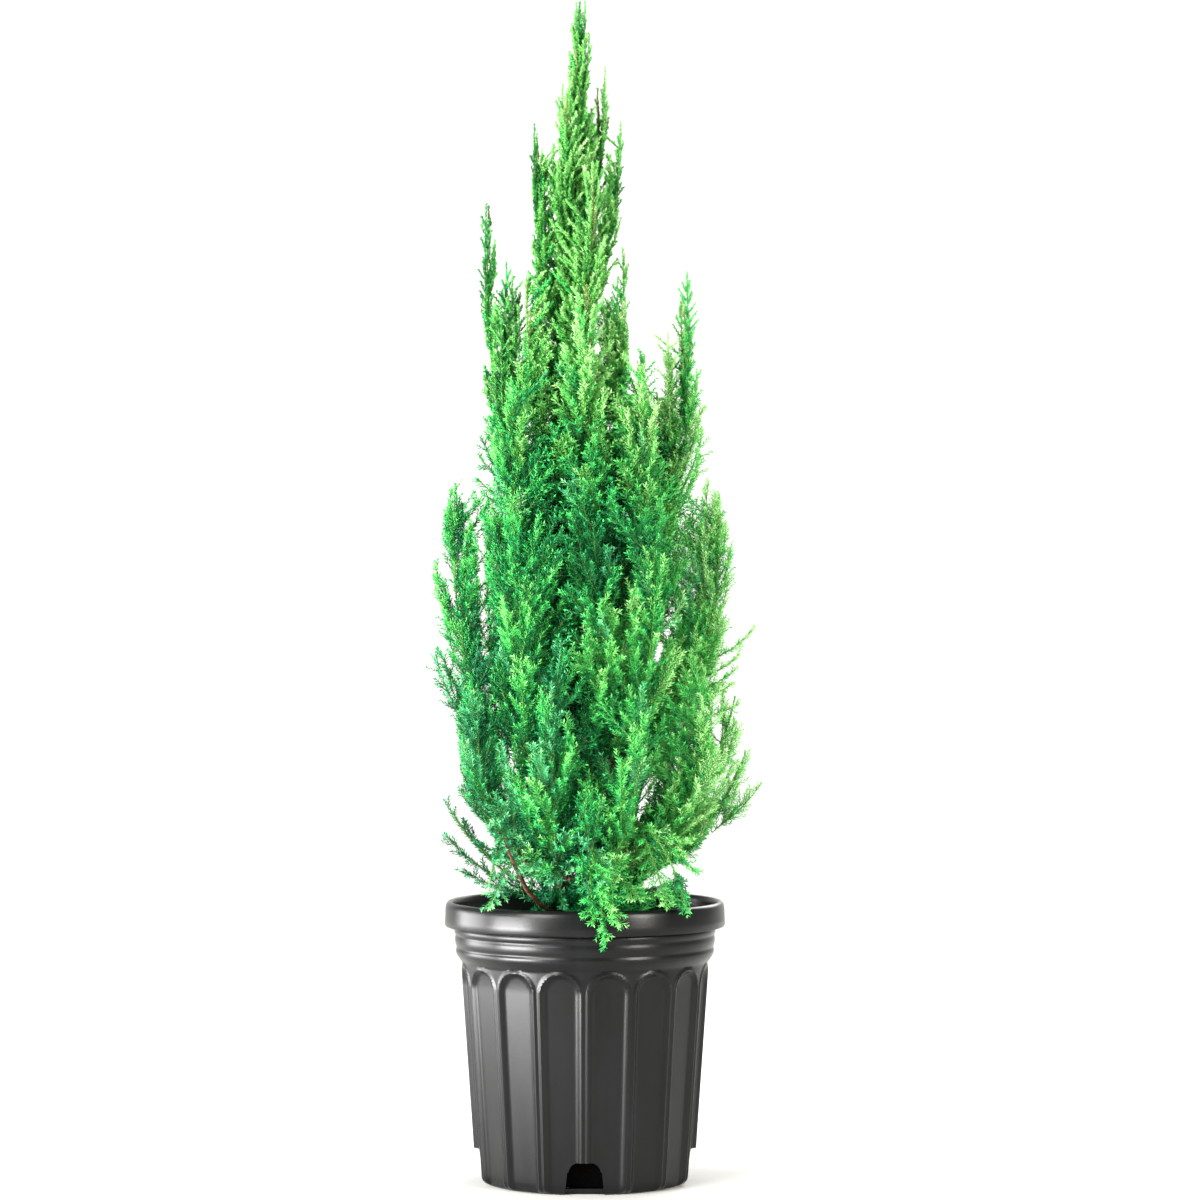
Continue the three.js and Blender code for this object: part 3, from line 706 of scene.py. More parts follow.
def makeWood():
    heights = np.arange(trunk["foot"] - 3, trunk["top"] + 1, bark["trunkStep"])
    clamped = np.maximum(heights, trunk["foot"])
    line = [((*trunkCentre(c)[:2], h), trunkRadius(c)) for h, c in zip(heights, clamped)]
    tube = sweepTube("trunk_bark", [line], bark["trunkSides"])
    mesh = raiseBark(tube, (0, 0, 1), bark["relief"], trunkLobes)
    peeling = juniperBark()
    addPiece("trunk_bark", mesh, peeling, ["trunk"])

    parts, nodes = [], []
    for limb in limbs:
        if limb["bough"]:
            shares = np.arange(0.002, limb["bough"] + 0.012, bark["boughStep"] / limb["length"])
            line = [(p, radiusAt(limb, s)) for p, s in zip(pointsAt(limb, shares), shares)]
            direction = tangentsAt(limb, limb["bough"] / 2)
            tube = sweepTube("bough", [line], bark["boughSides"])
            parts.append(raiseBark(tube, direction, bark["boughRelief"]))
            nodes.append(f"bough_{limb['name']}")
    bm = bmesh.new()
    for part in parts:
        bm.from_mesh(part)
    addPiece("bough_bark", meshOf(bm, "bough_bark"), peeling, nodes)


# Young juniper bark: thin reddish brown strips that lift and show paler wood
def juniperBark():
    grain = {"Scale": 330, "Detail": 6, "Roughness": 0.65}  # 3 mm
    stops = list(zip((0.34, 0.52, 0.7), bark["colours"]))
    dull = {"Roughness": 0.85, "IOR": 1.45}
    material, shader, _, strips, _ = grained("juniperBark", dull, grain, stops, 0.14)
    bump = addNode(material, "Bump", {"Strength": 0.8, "Distance": 0.0012}, {"Height": (strips, "Fac")})
    linkInto(material, shader, {"Normal": (bump, "Normal")})
    return material


makeWood()
print("trunk and boughs made")


# Foliage: sprays by the solids' rule and finer ones between, side shoots on each, needles in whorls of three

seeds = {"trunk": 777, "fill": 5, "reaches": 3, "shoots": 17, "needles": 23}
spray = {
    "spacing": 9,
    "spacingGain": 0.64,
    "turn": math.radians(137.508),
    "spread": (math.radians(28), math.radians(13)),  # at the foot and the tip of a plume
    "lift": 0.4,
    "longest": 110,
    "shortest": 30,
    "tipLength": 47,
    "tipRoot": 9,
    "lengthVaries": 0.25,
    "spreadVaries": 0.15,
    "roll": math.radians(25),
    "trims": 14,  # tries, each this much shorter
    "trim": 0.88,
    "toothReach": 0.14,  # half width of a spray, in its length
    "bow": 0.08,  # how far its middle hangs outward, in its length
    "extraRounds": 3,  # further rounds between the main sprays
    "roundTurn": 2.1,
    "extraShare": 0.85,
    "extraSpread": 1.35,  # of the main sprays' spread
    "shortestExtra": 16,
    "spireShort": 0.35,  # how much shorter the sprays are in the spire
    "spireUpright": 0.3,  # how much less they spread up there
    "spireTrim": 0.15,  # how much closer the sprays keep to their plume up there
    "spireTrimHeights": (640, 840),
    "tipTrims": (1, 0.8, 0.6),  # shares of its length that a plume's tip may keep
    "companions": 2,  # cords that stand beside each plume's tip
    "companionLength": 50,
    "trunkSpacing": 3.6,  # short growth from the trunk itself, up its length
    "trunkFrom": 292,
    "trunkTo": 960,
    "trunkLength": (30, 62),
    "trunkSpread": (math.radians(46), math.radians(18)),
    "strayEvery": 5,  # one in so many of the first extra round leans out past the plume
    "straySpread": 1.7,
    "strayReach": 1.9,
    "fillTries": 14000,  # places tried for the growth that fills the room between plumes
    "fillCrowding": 1.3,  # how much they gather low down
    "fillApart": ((300, 380, 640, 860), (10, 14, 14, 8)),  # heights, and the room between tips there
    "fillDepth": (0.72, 0.35),  # how deep in a plume a filling tip may stand, low down and in the spire
    "fillLength": (24, 84),
    "fillLean": (math.radians(86), math.radians(46)),  # from upright, at the rim and higher up
    "fillLeanHeights": (270, 360),
    "fillShade": 0.24,  # how much duller it is than the plumes
}
heart = {  # centre line and half width of the body that the filling growth keeps to, by height
    "heights": (255, 300, 350, 420, 600, 660, 720, 800, 885, 933, 980, 1030, 1075, 1112),
    "radii": (74, 88, 106, 118, 116, 98, 74, 50, 46, 40, 30, 18, 10, 4),
    "centres": (24, 20, 14, 6, 0, 0, -3, -6, -9, -9, -9, -9, -9, -9),
}
shoot = {  # pairs are low down and in the spire
    "spacing": (4.4, 3.3),
    "shortest": (6, 3),
    "longest": 24,
    "lengthVaries": (0.7, 1.25),
    "trims": (1, 0.75, 0.55),  # shares of its length that one may keep
    "angle": (math.radians(37), math.radians(24)),
    "angleVaries": math.radians(7),
    "places": (0.95, 0.8),  # where the last one stands along a spray
    "firstPlace": 0.07,
    "share": 0.34,  # of the spray's length, at its foot
    "tipShare": 0.5,  # of that, near the spray's tip
    "spireShort": 0.6,  # how much shorter they are up there
    "loneShare": 0.2,  # of a single spray's length
    "loneLengths": (3.5, 16),
    "loneAngle": math.radians(10),  # wider on single sprays
    "loneShort": 0.35,
    "flatness": 0.5,
    "spireRound": 1.1,  # up there they stand all around
    "curl": 0.3,
    "bareFoot": 0.06,  # share of a spray without needles of its own
}
needle = {  # pairs are low down and in the spire
    "whorlSpacing": (2.35, 1.8),
    "innerSpacing": 4.4,  # deep inside the plant, where little is seen
    "innerSize": 1.3,
    "seen": (0.35, 0.7),  # how far out in the plant the one kind gives way to the other
    "length": (5.3, 3.7),
    "lengthVaries": (0.85, 1.15),
    "tipShort": 0.2,  # how much shorter they are at a shoot's tip
    "tipClosed": 0.55,  # how far they close there
    "closingVaries": 40,  # in millimetres of height
    "turnVaries": 0.25,
    "widths": (0.22, 0.55),  # of its length, where it stands off and where it is pressed to the shoot
    "angles": (math.radians(46), math.radians(36)),
    "spire": (620, 900),  # heights between which the one kind turns into the other
    "pieceTriangles": 190000,
}
stems = {
    "greenAbove": 450,  # height of a plume's root
    "woodShare": 0.34,  # how far up the lower plumes their stems have hardened
    "sprayRadius": (0.45, 0.005),  # and what it gains with a spray's length
    "sprayTaper": 0.7,
    "twigRadius": 0.45,
    "leastRadius": 0.7,  # of a plume's own stem
    "endBefore": 14,  # that far from its tip
    "bare": (  # points and radii of the one without leaves
        ((-16, -12, 250), 2.6), ((-40, -44, 264), 2.4), ((-54, -66, 281), 2.1), ((-62, -75, 298), 1.8),
        ((-69, -80, 314), 1.4), ((-80, -80, 336), 0.7),
    ),
}
space = {
    "outerReach": (0.85, 1.3),
    "leftOutrigger": 0.6,  # of that reach
    "innerReach": 2.4,
    "loneReach": 4,
    "shootReach": 0.12,  # more for a side shoot than for its spray
    "heartReach": 1.04,
    "margin": 0.03,
    "limbClearance": 1.0,
    "rimRadii": (122, 135.5),
    "overPot": (250, 268),  # heights over the mix and the rim
    "pointsAtOnce": 12000,
}


# The same numbers as the solids' rule draws
def seeded(seed):
    state = seed
    limit = 0xFFFFFFFF

    def draw():
        nonlocal state
        state = (state + 0x6D2B79F5) & limit
        mixed = ((state ^ (state >> 15)) * (state | 1)) & limit
        mixed ^= (mixed + (((mixed ^ (mixed >> 7)) * (mixed | 61)) & limit)) & limit
        return ((mixed ^ (mixed >> 14)) & limit) / 2**32

    return draw


def limbBalls():
    heights = np.arange(trunk["foot"], trunk["top"], trunk["radii"][0])
    balls = [(*trunkCentre(h), trunkRadius(h)) for h in heights]
    for limb in limbs:
        if limb["bough"]:
            for share in np.arange(0, limb["bough"], 2 * limbShape["rootRadius"] / limb["length"]):
                balls.append((*pointsAt(limb, share), radiusAt(limb, share)))
    return np.array(balls, np.float32)


axisPoints = np.concatenate([limb["axis"] for limb in limbs]).astype(np.float32)
axisWidths = np.concatenate([limb["widths"] for limb in limbs]).astype(np.float32)
balls = limbBalls()
trunkLine = np.array([trunkCentre(h) for h in range(250, 961, 10)])


# How far each point stands from the trunk, as a share of the plant's half width at that height
def exposureOf(points):
    heights = np.arange(230, 1121, 30)
    spread = np.hypot(axisPoints[:, 0], axisPoints[:, 1]) + axisWidths
    outline = [max(spread[abs(axisPoints[:, 2] - h) < 45], default=20) for h in heights]
    return np.clip(np.hypot(points[:, 0], points[:, 1]) / np.interp(points[:, 2], heights, outline), 0, 1)


# Distance from the plant's centre line, as a share of the heart's half width
def heartShare(points):
    centre = np.interp(points[:, 2], heart["heights"], heart["centres"])
    radius = np.interp(points[:, 2], heart["heights"], heart["radii"], right=1)
    return np.hypot(points[:, 0] - centre, points[:, 1]) / radius


# How far the plant reaches as the camera sees it: heights, left and right in millimetres
outline = {
    "plant": (
        (255, -70, 98), (280, -84, 104), (304, -124, 106), (328, -134, 112), (340, -134, 150),
        (364, -136, 160), (376, -114, 170), (400, -119, 152), (447, -122, 141), (471, -124, 141),
        (495, -142, 141), (504, -145, 146), (518, -136, 154), (528, -136, 152), (540, -137, 130),
        (566, -145, 142), (584, -143, 142), (614, -136, 138), (637, -134, 132), (661, -126, 123),
        (676, -106, 114), (685, -99, 108), (709, -98, 112), (756, -98, 110), (780, -95, 104),
        (828, -95, 97), (864, -94, 94), (880, -92, 93), (925, -98, 90),
    ),
    "crown": (  # all but the two arms at its sides, above the height where they part
        (770, -62, 58), (786, -58, 56), (796, -58, 40), (828, -58, 38), (850, -57, 38), (876, -50, 38),
        (899, -48, 33), (923, -47, 31), (947, -50, 31), (970, -47, 33), (995, -49, 34), (1004, -30, 24),
        (1018, -23, 18), (1042, -16, 18), (1066, -15, 9), (1120, -10, 4),
    ),
    "arms": (
        (770, -40, 50), (790, -56, 70), (804, -60, 78), (828, -64, 85), (852, -68, 90), (876, -74, 93),
    ),
    "armsFrom": 790,
    "slack": 1.0,
}
# Where the sky shows through: ends of each gap and half its width, as the camera sees it
skyGaps = (
    ((-113, 662), (-100, 612), 3.8), ((-99, 606), (-95, 500), 3.4), ((120, 454), (126, 420), 5),
    ((57, 380), (51, 338), 4.6), ((84, 556), (68, 492), 4), ((-118, 357), (-90, 318), 5),
    ((-131, 343), (-104, 310), 5), ((-104, 308), (-78, 289), 5.5), ((-132, 292), (-96, 278), 7),
    ((120, 278), (140, 316), 10), ((72, 302), (66, 286), 4.5), ((62, 327), (80, 312), 4.5),
    ((58, 281), (86, 296), 6), ((8, 1052), (4, 1022), 3.5), ((-38, 1002), (-35, 976), 4),
    ((17, 984), (16, 965), 4), ((28, 895), (24, 868), 4.5), ((45, 802), (46, 750), 4),
    ((65, 792), (63, 756), 5), ((-56, 842), (-58, 812), 4),
)


def insideOutline(points, owners, gaps=skyGaps):
    cameraX, cameraY, cameraZ = (1000 * value for value in studio["cameraPlace"])
    nearer = -cameraY / (points[:, 1] - cameraY)
    x, z = cameraX + (points[:, 0] - cameraX) * nearer, cameraZ + (points[:, 2] - cameraZ) * nearer
    limits = {}
    for part in ("plant", "crown", "arms"):
        heights, left, right = np.array(outline[part]).T
        limits[part] = np.interp(z, heights, left), np.interp(z, heights, right)
    slack = outline["slack"]
    inside = (x > limits["plant"][0] - slack) & (x < limits["plant"][1] + slack)
    isArm = np.isin(owners, [limbNames.index(name) for name in ("arm_left", "arm_right")])
    amid = (x > limits["arms"][0]) & (x < limits["arms"][1])
    beside = (x < limits["crown"][0] - slack) | (x > limits["crown"][1] + slack)
    inside &= ~((z > outline["armsFrom"]) & np.where(isArm, amid, beside))
    for (x1, z1), (x2, z2), half in gaps:
        across, up = x2 - x1, z2 - z1
        along = np.clip(((x - x1) * across + (z - z1) * up) / (across**2 + up**2), 0, 1)
        inside &= np.hypot(x - x1 - along * across, z - z1 - along * up) > half
    return inside


# Share of a limb's length at which its stem stops: before it would leave the outline
def stemEnd(index, limb, furthest):
    shares = np.linspace(0.4, furthest, 40)
    outside = np.flatnonzero(~insideOutline(pointsAt(limb, shares), np.full(40, index), ()))
    return shares[outside[0]] if len(outside) else furthest


# Whether each point lies in its plume's space, clear of the pot and the bare limbs, and how deep in it.
# A plume reaches further towards the trunk than outward. Owner -1 keeps to the heart, in any plume's space.
def inSpace(points, owners, reaches):
    clear = np.zeros(len(points), bool)
    depths = np.zeros(len(points))
    for start in range(0, len(points), space["pointsAtOnce"]):
        part = slice(start, start + space["pointsAtOnce"])
        chunk, loose = points[part].astype(np.float32), owners[part] < 0
        rows = np.arange(len(chunk))
        away = np.linalg.norm(chunk[:, None] - axisPoints[None], axis=2) / axisWidths
        away = away.reshape(len(chunk), len(limbs), -1)
        perPlume = away.min(axis=2)
        owner = np.where(loose, perPlume.argmin(axis=1), owners[part])
        own = perPlume[rows, owner].copy()
        perPlume[rows, owner] = np.inf
        nearest = axisPoints.reshape(len(limbs), -1, 3)[owner, away[rows, owner].argmin(axis=1)][:, :2]
        centre = np.stack([np.interp(chunk[:, 2], trunkLine[:, 2], trunkLine[:, k]) for k in (0, 1)], axis=1)
        inward = np.einsum("nk,nk->n", unitVectors(chunk[:, :2] - nearest), unitVectors(centre - nearest))
        reach = between((reaches[part], space["innerReach"]), np.clip(inward, 0, 1))
        fits = (own < reach) & (perPlume.min(axis=1) > own + space["margin"])
        fits |= reaches[part] >= space["loneReach"]
        fits |= loose & (heartShare(chunk) < space["heartReach"])
        offWood = np.linalg.norm(chunk[:, None] - balls[None, :, :3], axis=2) - balls[:, 3]
        fits &= offWood.min(axis=1) > space["limbClearance"]
        radius = np.hypot(chunk[:, 0], chunk[:, 1])
        (inner, outer), (overMix, overRim) = space["rimRadii"], space["overPot"]
        fits &= (radius > outer) | (chunk[:, 2] > np.where(radius > inner, overRim, overMix))
        clear[part] = fits & insideOutline(chunk, owners[part])
        depths[part] = own
    return clear, depths


# Wanted sprays: plume, kind, foot, direction, the way the flat side looks, length and least reach

def outwardFrom(limb, tangent, turn):
    return np.cross(limb["beside"], tangent) * math.cos(turn) + limb["beside"] * math.sin(turn)


def leaned(tangent, outward, angle, lift):
    return unitVectors(tangent * math.cos(angle) + outward * math.sin(angle) + np.array((0, 0, lift)))


def plumeSprays(index, limb):
    rows = []
    bare, rounds = limb["bough"], spray["extraRounds"] + 1
    end = 1 - spray["tipLength"] / limb["length"]
    feathered = (end - bare) / (1 - bare)
    spacing = spray["spacing"] + spray["spacingGain"] * limb["halfWidth"]
    count = round(limb["length"] * (end - bare) / spacing)
    for extra in range(rounds):
        random = seeded(limb["seed"] + 100 * extra)
        shift = (extra / rounds + 0.5) % 1
        for i in range(count):
            along = feathered * (i + shift) / count
            share = bare + (1 - bare) * along
            foot, tangent = pointsAt(limb, share), tangentsAt(limb, share)
            closed = float(closedness(foot[2]))
            turn = i * spray["turn"] + limb["seed"] + extra * spray["roundTurn"]
            outward = outwardFrom(limb, tangent, turn)
            spread = between(spray["spread"], along)
            spread *= 1 - spray["spreadVaries"] + 2 * spray["spreadVaries"] * random()
            spread *= spray["extraSpread"] if extra else 1
            spread *= 1 - spray["spireUpright"] * closed
            strays = extra == 1 and i % spray["strayEvery"] == 0 and bare > 0
            spread *= spray["straySpread"] if strays else 1
            direction = leaned(tangent, outward, spread, spray["lift"])
            wanted = widthAt(limb, along) / math.sin(spread) * (1 + spray["lengthVaries"] * random())
            roll = spray["roll"] * (2 * random() - 1)
            facing = np.array(Matrix.Rotation(roll, 3, Vector(direction)) @ Vector(outward))
            wanted = min(max(wanted, spray["shortest"]), spray["longest"])
            wanted *= 1 - spray["spireShort"] * closed
            if extra:
                wanted *= spray["extraShare"] * (0.5 + 0.8 * random())
            reach = spray["strayReach"] if strays else 0
            rows.append((index, "extra" if extra else "main", foot, direction, facing, wanted, reach))
    return rows


def tipSprays(index, limb):
    root, companion = spray["tipLength"] + spray["tipRoot"], spray["companionLength"]
    foot, tip = pointsAt(limb, 1 - root / limb["length"]), pointsAt(limb, 1.0)
    length = np.linalg.norm(tip - foot)
    rows = [(index, "tip", foot, (tip - foot) / length, limb["beside"], length, 0)]
    random = seeded(limb["seed"] + 900)
    for i in range(spray["companions"]):
        share = 1 - (root + companion * (0.15 + 0.75 * random())) / limb["length"]
        tangent = tangentsAt(limb, share)
        outward = outwardFrom(limb, tangent, i * spray["turn"] + limb["seed"])
        direction = leaned(tangent, outward, math.radians(6 + 6 * random()), 0.15)
        wanted = companion * (0.75 + 0.5 * random())
        rows.append((index, "companion", pointsAt(limb, share), direction, outward, wanted, 0))
    return rows


def trunkSprays():
    rows = []
    random = seeded(seeds["trunk"])
    low, high = spray["trunkFrom"], spray["trunkTo"]
    for i, height in enumerate(np.arange(low, high, spray["trunkSpacing"])):
        azimuth = i * spray["turn"]
        outward = np.array((math.cos(azimuth), math.sin(azimuth), 0))
        spread = between(spray["trunkSpread"], (height - low) / (high - low)) * (0.8 + 0.4 * random())
        direction = outward * math.sin(spread) + np.array((0, 0, math.cos(spread)))
        length = between(spray["trunkLength"], random())
        foot = trunkCentre(height) + outward * trunkRadius(height) * 0.8
        facing = np.cross(direction, (-outward[1], outward[0], 0))
        rows.append((-1, "trunk", foot, direction, facing, length, 0))
    return rows


# Growth that fills the room between the plumes: each tip stands apart from the others and is joined to the
# nearest limb under it
def fillSprays():
    draw = np.random.default_rng(seeds["fill"])
    many = spray["fillTries"]
    heights, radii, centres = (heart[key] for key in ("heights", "radii", "centres"))
    tips = np.zeros((many, 3))
    tips[:, 2] = between((heights[0], heights[-1]), draw.random(many) ** spray["fillCrowding"])
    radius = np.interp(tips[:, 2], heights, radii) * np.sqrt(draw.random(many))
    azimuth = draw.uniform(0, 2 * math.pi, many)
    tips[:, 0] = np.interp(tips[:, 2], heights, centres) + radius * np.cos(azimuth)
    tips[:, 1] = radius * np.sin(azimuth)
    _, depth = inSpace(tips, np.full(many, -1), np.ones(many))
    tips = tips[depth > between(spray["fillDepth"], closedness(tips[:, 2]))]
    anchors = [pointsAt(limb, np.arange(0.03, 0.95, 5 / limb["length"])) for limb in limbs] + [trunkLine]
    anchors = np.concatenate(anchors)
    rows, taken = [], np.zeros((0, 3))
    for tip in tips:
        apart = np.interp(tip[2], *spray["fillApart"])
        if len(taken) and np.linalg.norm(taken - tip, axis=1).min() < apart:
            continue
        way = tip - anchors
        length = np.linalg.norm(way, axis=1)
        lean = np.arccos(np.clip(way[:, 2] / length, -1, 1))
        most = np.interp(tip[2], spray["fillLeanHeights"], spray["fillLean"])
        allowed = (length > spray["fillLength"][0]) & (length < spray["fillLength"][1]) & (lean < most)
        if not allowed.any():
            continue
        foot = np.argmin(np.where(allowed, length * (1 + 0.6 * lean), np.inf))
        direction = way[foot] / length[foot]
        facing = unitVectors(np.cross(direction, draw.normal(0, 1, 3)))
        rows.append((-1, "fill", anchors[foot], direction, facing, length[foot], 0))
        taken = np.vstack([taken, tip])
    return rows


# Single sprays that stand out: limb, and for each the share of its length and the tip in millimetres
loneSprays = (
    ("leader", (0.7, -8, -2, 1119), (0.62, 0, 2, 1121), (0.3, 4, -3, 1090)),
    ("arm_left", (0.42, -75, 6, 873), (0.36, -69, -6, 860), (0.3, -80, -12, 838), (0.24, -72, 4, 822),
        (0.3, -66, 0, 848), (0.2, -63, -8, 830), (0.26, -76, 10, 850), (0.1, -99, 10, 708),
        (0.14, -101, -8, 690)),
    ("shoulder_right", (0.4, 17, -18, 838), (0.3, 24, -24, 812), (0.2, 14, -28, 776)),
    ("arm_right", (0.5, 79, -8, 806), (0.42, 82, 12, 786), (0.5, 106, -10, 770), (0.36, 110, 4, 738),
        (0.3, 112, -14, 712), (0.22, 110, 12, 690), (0.3, 56, -20, 784)),
    ("middle_left", (0.55, -141, -8, 584), (0.42, -134, 10, 556), (0.2, -142, -12, 502),
        (0.16, -132, 10, 486)),
    ("middle_right", (0.5, 160, -10, 526), (0.46, 146, -24, 501), (0.42, 144, -14, 488),
        (0.4, 140, -34, 474), (0.34, 145, -30, 454)),
    ("low_right_front", (0.4, 143, -52, 436)),
    ("outrigger_right", (0.4, 152, -20, 408), (0.34, 148, 4, 396), (0.3, 140, -34, 400)),
    ("low_right", (0.2, 138, -44, 414)),
    ("outrigger_left", (0.13, -131, -20, 330), (0.1, -114, -34, 298)),
    ("low_left_front", (0.1, -84, -84, 372)),
    ("skirt_front_left", (0.35, -88, -112, 268)),
    ("skirt_front", (0.4, 52, -124, 276), (0.3, 2, -118, 302)),
    ("low_front_left", (0.3, -76, -84, 420), (0.25, -62, -96, 390), (0.2, -35, -100, 357),
        (0.2, -76, -76, 361), (0.12, -52, -84, 323), (0.1, -69, -72, 314)),
    ("skirt_front_right", (0.4, 104, -96, 300), (0.3, 98, -84, 326)),
    ("skirt_front", (0.2, -30, -100, 290), (0.15, -12, -96, 302)),
    ("skirt_front_left", (0.2, -50, -96, 302)),
    ("skirt_front", (0.12, -38, -90, 300), (0.1, -24, -84, 332)),
    ("low_left_front", (0.4, -66, -62, 428)),
    ("spire_back_right", (0.5, 19, 14, 1060), (0.3, 6, 6, 1019), (0.4, 18, 8, 1002)),
    ("spire_right", (0.5, 34, 0, 1006), (0.4, 24, -6, 974)),
    ("spire_left", (0.5, -48, -6, 1003)),
    ("spire_front_left", (0.5, -21, -16, 1041)),
    ("spire_left", (0.4, -30, -8, 984)),
    ("arm_left", (0.6, -94, 0, 928)),
    ("shoulder_right", (0.5, 36, -8, 885), (0.42, 31, -16, 857)),
    ("spire_right", (0.25, 34, -10, 914), (0.2, 26, -4, 892), (0.3, 25, -12, 934)),
    ("arm_left", (0.08, -103, 0, 668), (0.06, -98, -20, 654)),
    ("middle_right", (0.75, 117, -10, 664), (0.7, 122, 4, 650)),
    ("arm_right", (0.6, 97, 0, 864), (0.55, 91, 8, 836)),
    ("skirt_front", (0.6, 32, -150, 252)),
    ("skirt_front_right", (0.5, 76, -118, 268)),
    ("skirt_front", (0.5, 8, -148, 256)),
)


def aloneSprays():
    rows = []
    for name, *places in loneSprays:
        owner = limbNames.index(name)
        for share, *tip in places:
            foot = pointsAt(limbs[owner], share)
            way = np.array(tip) - foot
            length = np.linalg.norm(way)
            facing = unitVectors(np.cross(way, (way[1], -way[0], 0.1)))
            rows.append((owner, "lone", foot, way / length, facing, length, space["loneReach"]))
    return rows


# Keeps the longest length of each spray that stays in its space
def grownSprays():
    rows = trunkSprays() + fillSprays() + aloneSprays()
    for index, limb in enumerate(limbs):
        rows += plumeSprays(index, limb) + tipSprays(index, limb)
    owner, kind, foot, direction, facing, wanted, least = (np.array(column) for column in zip(*rows))
    across = unitVectors(np.cross(facing, direction))
    reach = np.random.default_rng(seeds["reaches"]).uniform(*space["outerReach"], len(rows))
    reach[owner == limbNames.index("outrigger_left")] *= space["leftOutrigger"]
    tipHeights = foot[:, 2] + direction[:, 2] * wanted
    reach *= 1 - spray["spireTrim"] * smoothStep(*spray["spireTrimHeights"], tipHeights)
    reach = np.maximum(reach, least)
    lone = kind == "lone"
    kept = np.where(lone, wanted, 0)
    rooted = insideOutline(foot, owner, ())
    for share in spray["tipTrims"]:
        left = (kind == "tip") & (kept == 0) & rooted
        seen = insideOutline(foot + direction * (wanted * share)[:, None], owner, ())
        kept[left] = (wanted * share * seen)[left]
    shortest = np.where(kind == "main", spray["shortest"] * (1 - spray["spireShort"]), spray["shortestExtra"])
    for trial in range(spray["trims"]):
        length = wanted * spray["trim"] ** trial
        left = (kept == 0) & (length >= shortest) & (kind != "tip")
        if not left.any():
            break
        end, halfWay = (foot + direction * (part * length)[:, None] for part in (1, 0.5))
        tooth = across * (spray["toothReach"] * length)[:, None]
        corners = np.stack([end, halfWay - tooth, halfWay + tooth], axis=1)[left]
        fits, _ = inSpace(corners.reshape(-1, 3), np.repeat(owner[left], 3), np.repeat(reach[left], 3))
        chosen = np.flatnonzero(left)[fits.reshape(-1, 3).all(axis=1)]
        kept[chosen] = length[chosen]
    grown = (kept > 0) & (rooted | lone)
    for name in ("main", "extra", "companion", "trunk", "fill"):
        named = kind == name
        print("sprays,", name, int(named.sum()), "wanted,", int((grown & named).sum()), "grown")
    names = ("owner", "kind", "foot", "direction", "across", "facing", "length", "reach")
    columns = (owner, kind, foot, direction, across, facing, kept, reach)
    sprays = {name: column[grown] for name, column in zip(names, columns)}
    foot, direction, length = sprays["foot"], sprays["direction"], sprays["length"]
    tip = foot + direction * length[:, None]
    outward = direction - np.array((0, 0, 1)) * direction[:, 2:]
    bow = spray["bow"] * np.where(lone[grown], 2, 1) * (1 - 0.7 * closedness(tip[:, 2])) * length
    bend = (foot + tip) / 2 + (unitVectors(outward) - np.array((0, 0, 0.6))) * bow[:, None]
    return {**sprays, "tip": tip, "bend": bend}


def countedOut(counts):  # for each one counted: whose it is, and its number there
    owner = np.repeat(np.arange(len(counts)), counts)
    return owner, np.arange(counts.sum()) - np.repeat(np.cumsum(counts) - counts, counts)


# Side shoots stand on both sides of a spray, longest low down, curl up, and keep to the plume's space
def grownShoots(sprays):
    draw = np.random.default_rng(seeds["shoots"])
    closed = closedness(sprays["foot"][:, 2])
    last = between(shoot["places"], closed)
    counts = np.maximum(3, sprays["length"] * last / between(shoot["spacing"], closed)).astype(int)
    spot, step = countedOut(counts)
    many, first, last, closed = len(spot), shoot["firstPlace"], last[spot], closed[spot]
    under = {key: column[spot] for key, column in sprays.items()}
    place = first + (last - first) * (step + draw.uniform(0.1, 0.9, many)) / counts[spot]
    tilt = (draw.normal(0, 1, many) * (shoot["flatness"] + shoot["spireRound"] * closed))[:, None]
    side = np.where(step % 2, 1, -1)[:, None]
    outward = under["across"] * side * np.cos(tilt) + under["facing"] * np.sin(tilt)
    alone = under["reach"] >= space["loneReach"]
    angle = between(shoot["angle"], closed) + shoot["loneAngle"] * alone * (1 - closed)
    angle = (angle + draw.normal(0, shoot["angleVaries"], many))[:, None]
    heading = unitVectors(under["direction"] * np.cos(angle) + outward * np.sin(angle))
    foot = bezier(under["foot"], under["bend"], under["tip"], place[:, None])
    taper = 1 - (1 - shoot["tipShare"]) * place
    length = under["length"] * shoot["share"] * taper * draw.uniform(*shoot["lengthVaries"], many)
    length *= 1 - shoot["spireShort"] * closed
    shortest = between(shoot["shortest"], closed)
    length = np.clip(length, shortest, shoot["longest"])
    own = under["length"] * shoot["loneShare"] * taper * draw.uniform(*shoot["lengthVaries"], many)
    kept = np.where(alone, np.clip(own, *shoot["loneLengths"]) * (1 - shoot["loneShort"] * closed), 0)
    depth = np.where(alone, 0.8, 0.0)
    for share in shoot["trims"]:
        left = (kept == 0) & (length * share >= shortest)
        tips = foot[left] + heading[left] * (length[left] * share)[:, None]
        fits, deep = inSpace(tips, under["owner"][left], under["reach"][left] + space["shootReach"])
        chosen = np.flatnonzero(left)[fits]
        kept[chosen], depth[chosen] = length[chosen] * share, deep[fits]
    grown = kept > 0
    print("side shoots,", many, "wanted,", int(grown.sum()), "grown")
    foot, heading, kept = foot[grown], heading[grown], kept[grown][:, None]
    bend = foot + heading * kept / 2
    tip = bend + unitVectors(heading + np.array((0, 0, shoot["curl"]))) * kept / 2
    grownOn = {"depth": depth[grown], "place": place[grown], "spray": spot[grown]}
    return {"foot": foot, "bend": bend, "tip": tip, **grownOn}


# Needles: open and standing off low down, short and pressed to the shoot in the spire

def closedness(height):
    return smoothStep(*needle["spire"], height)


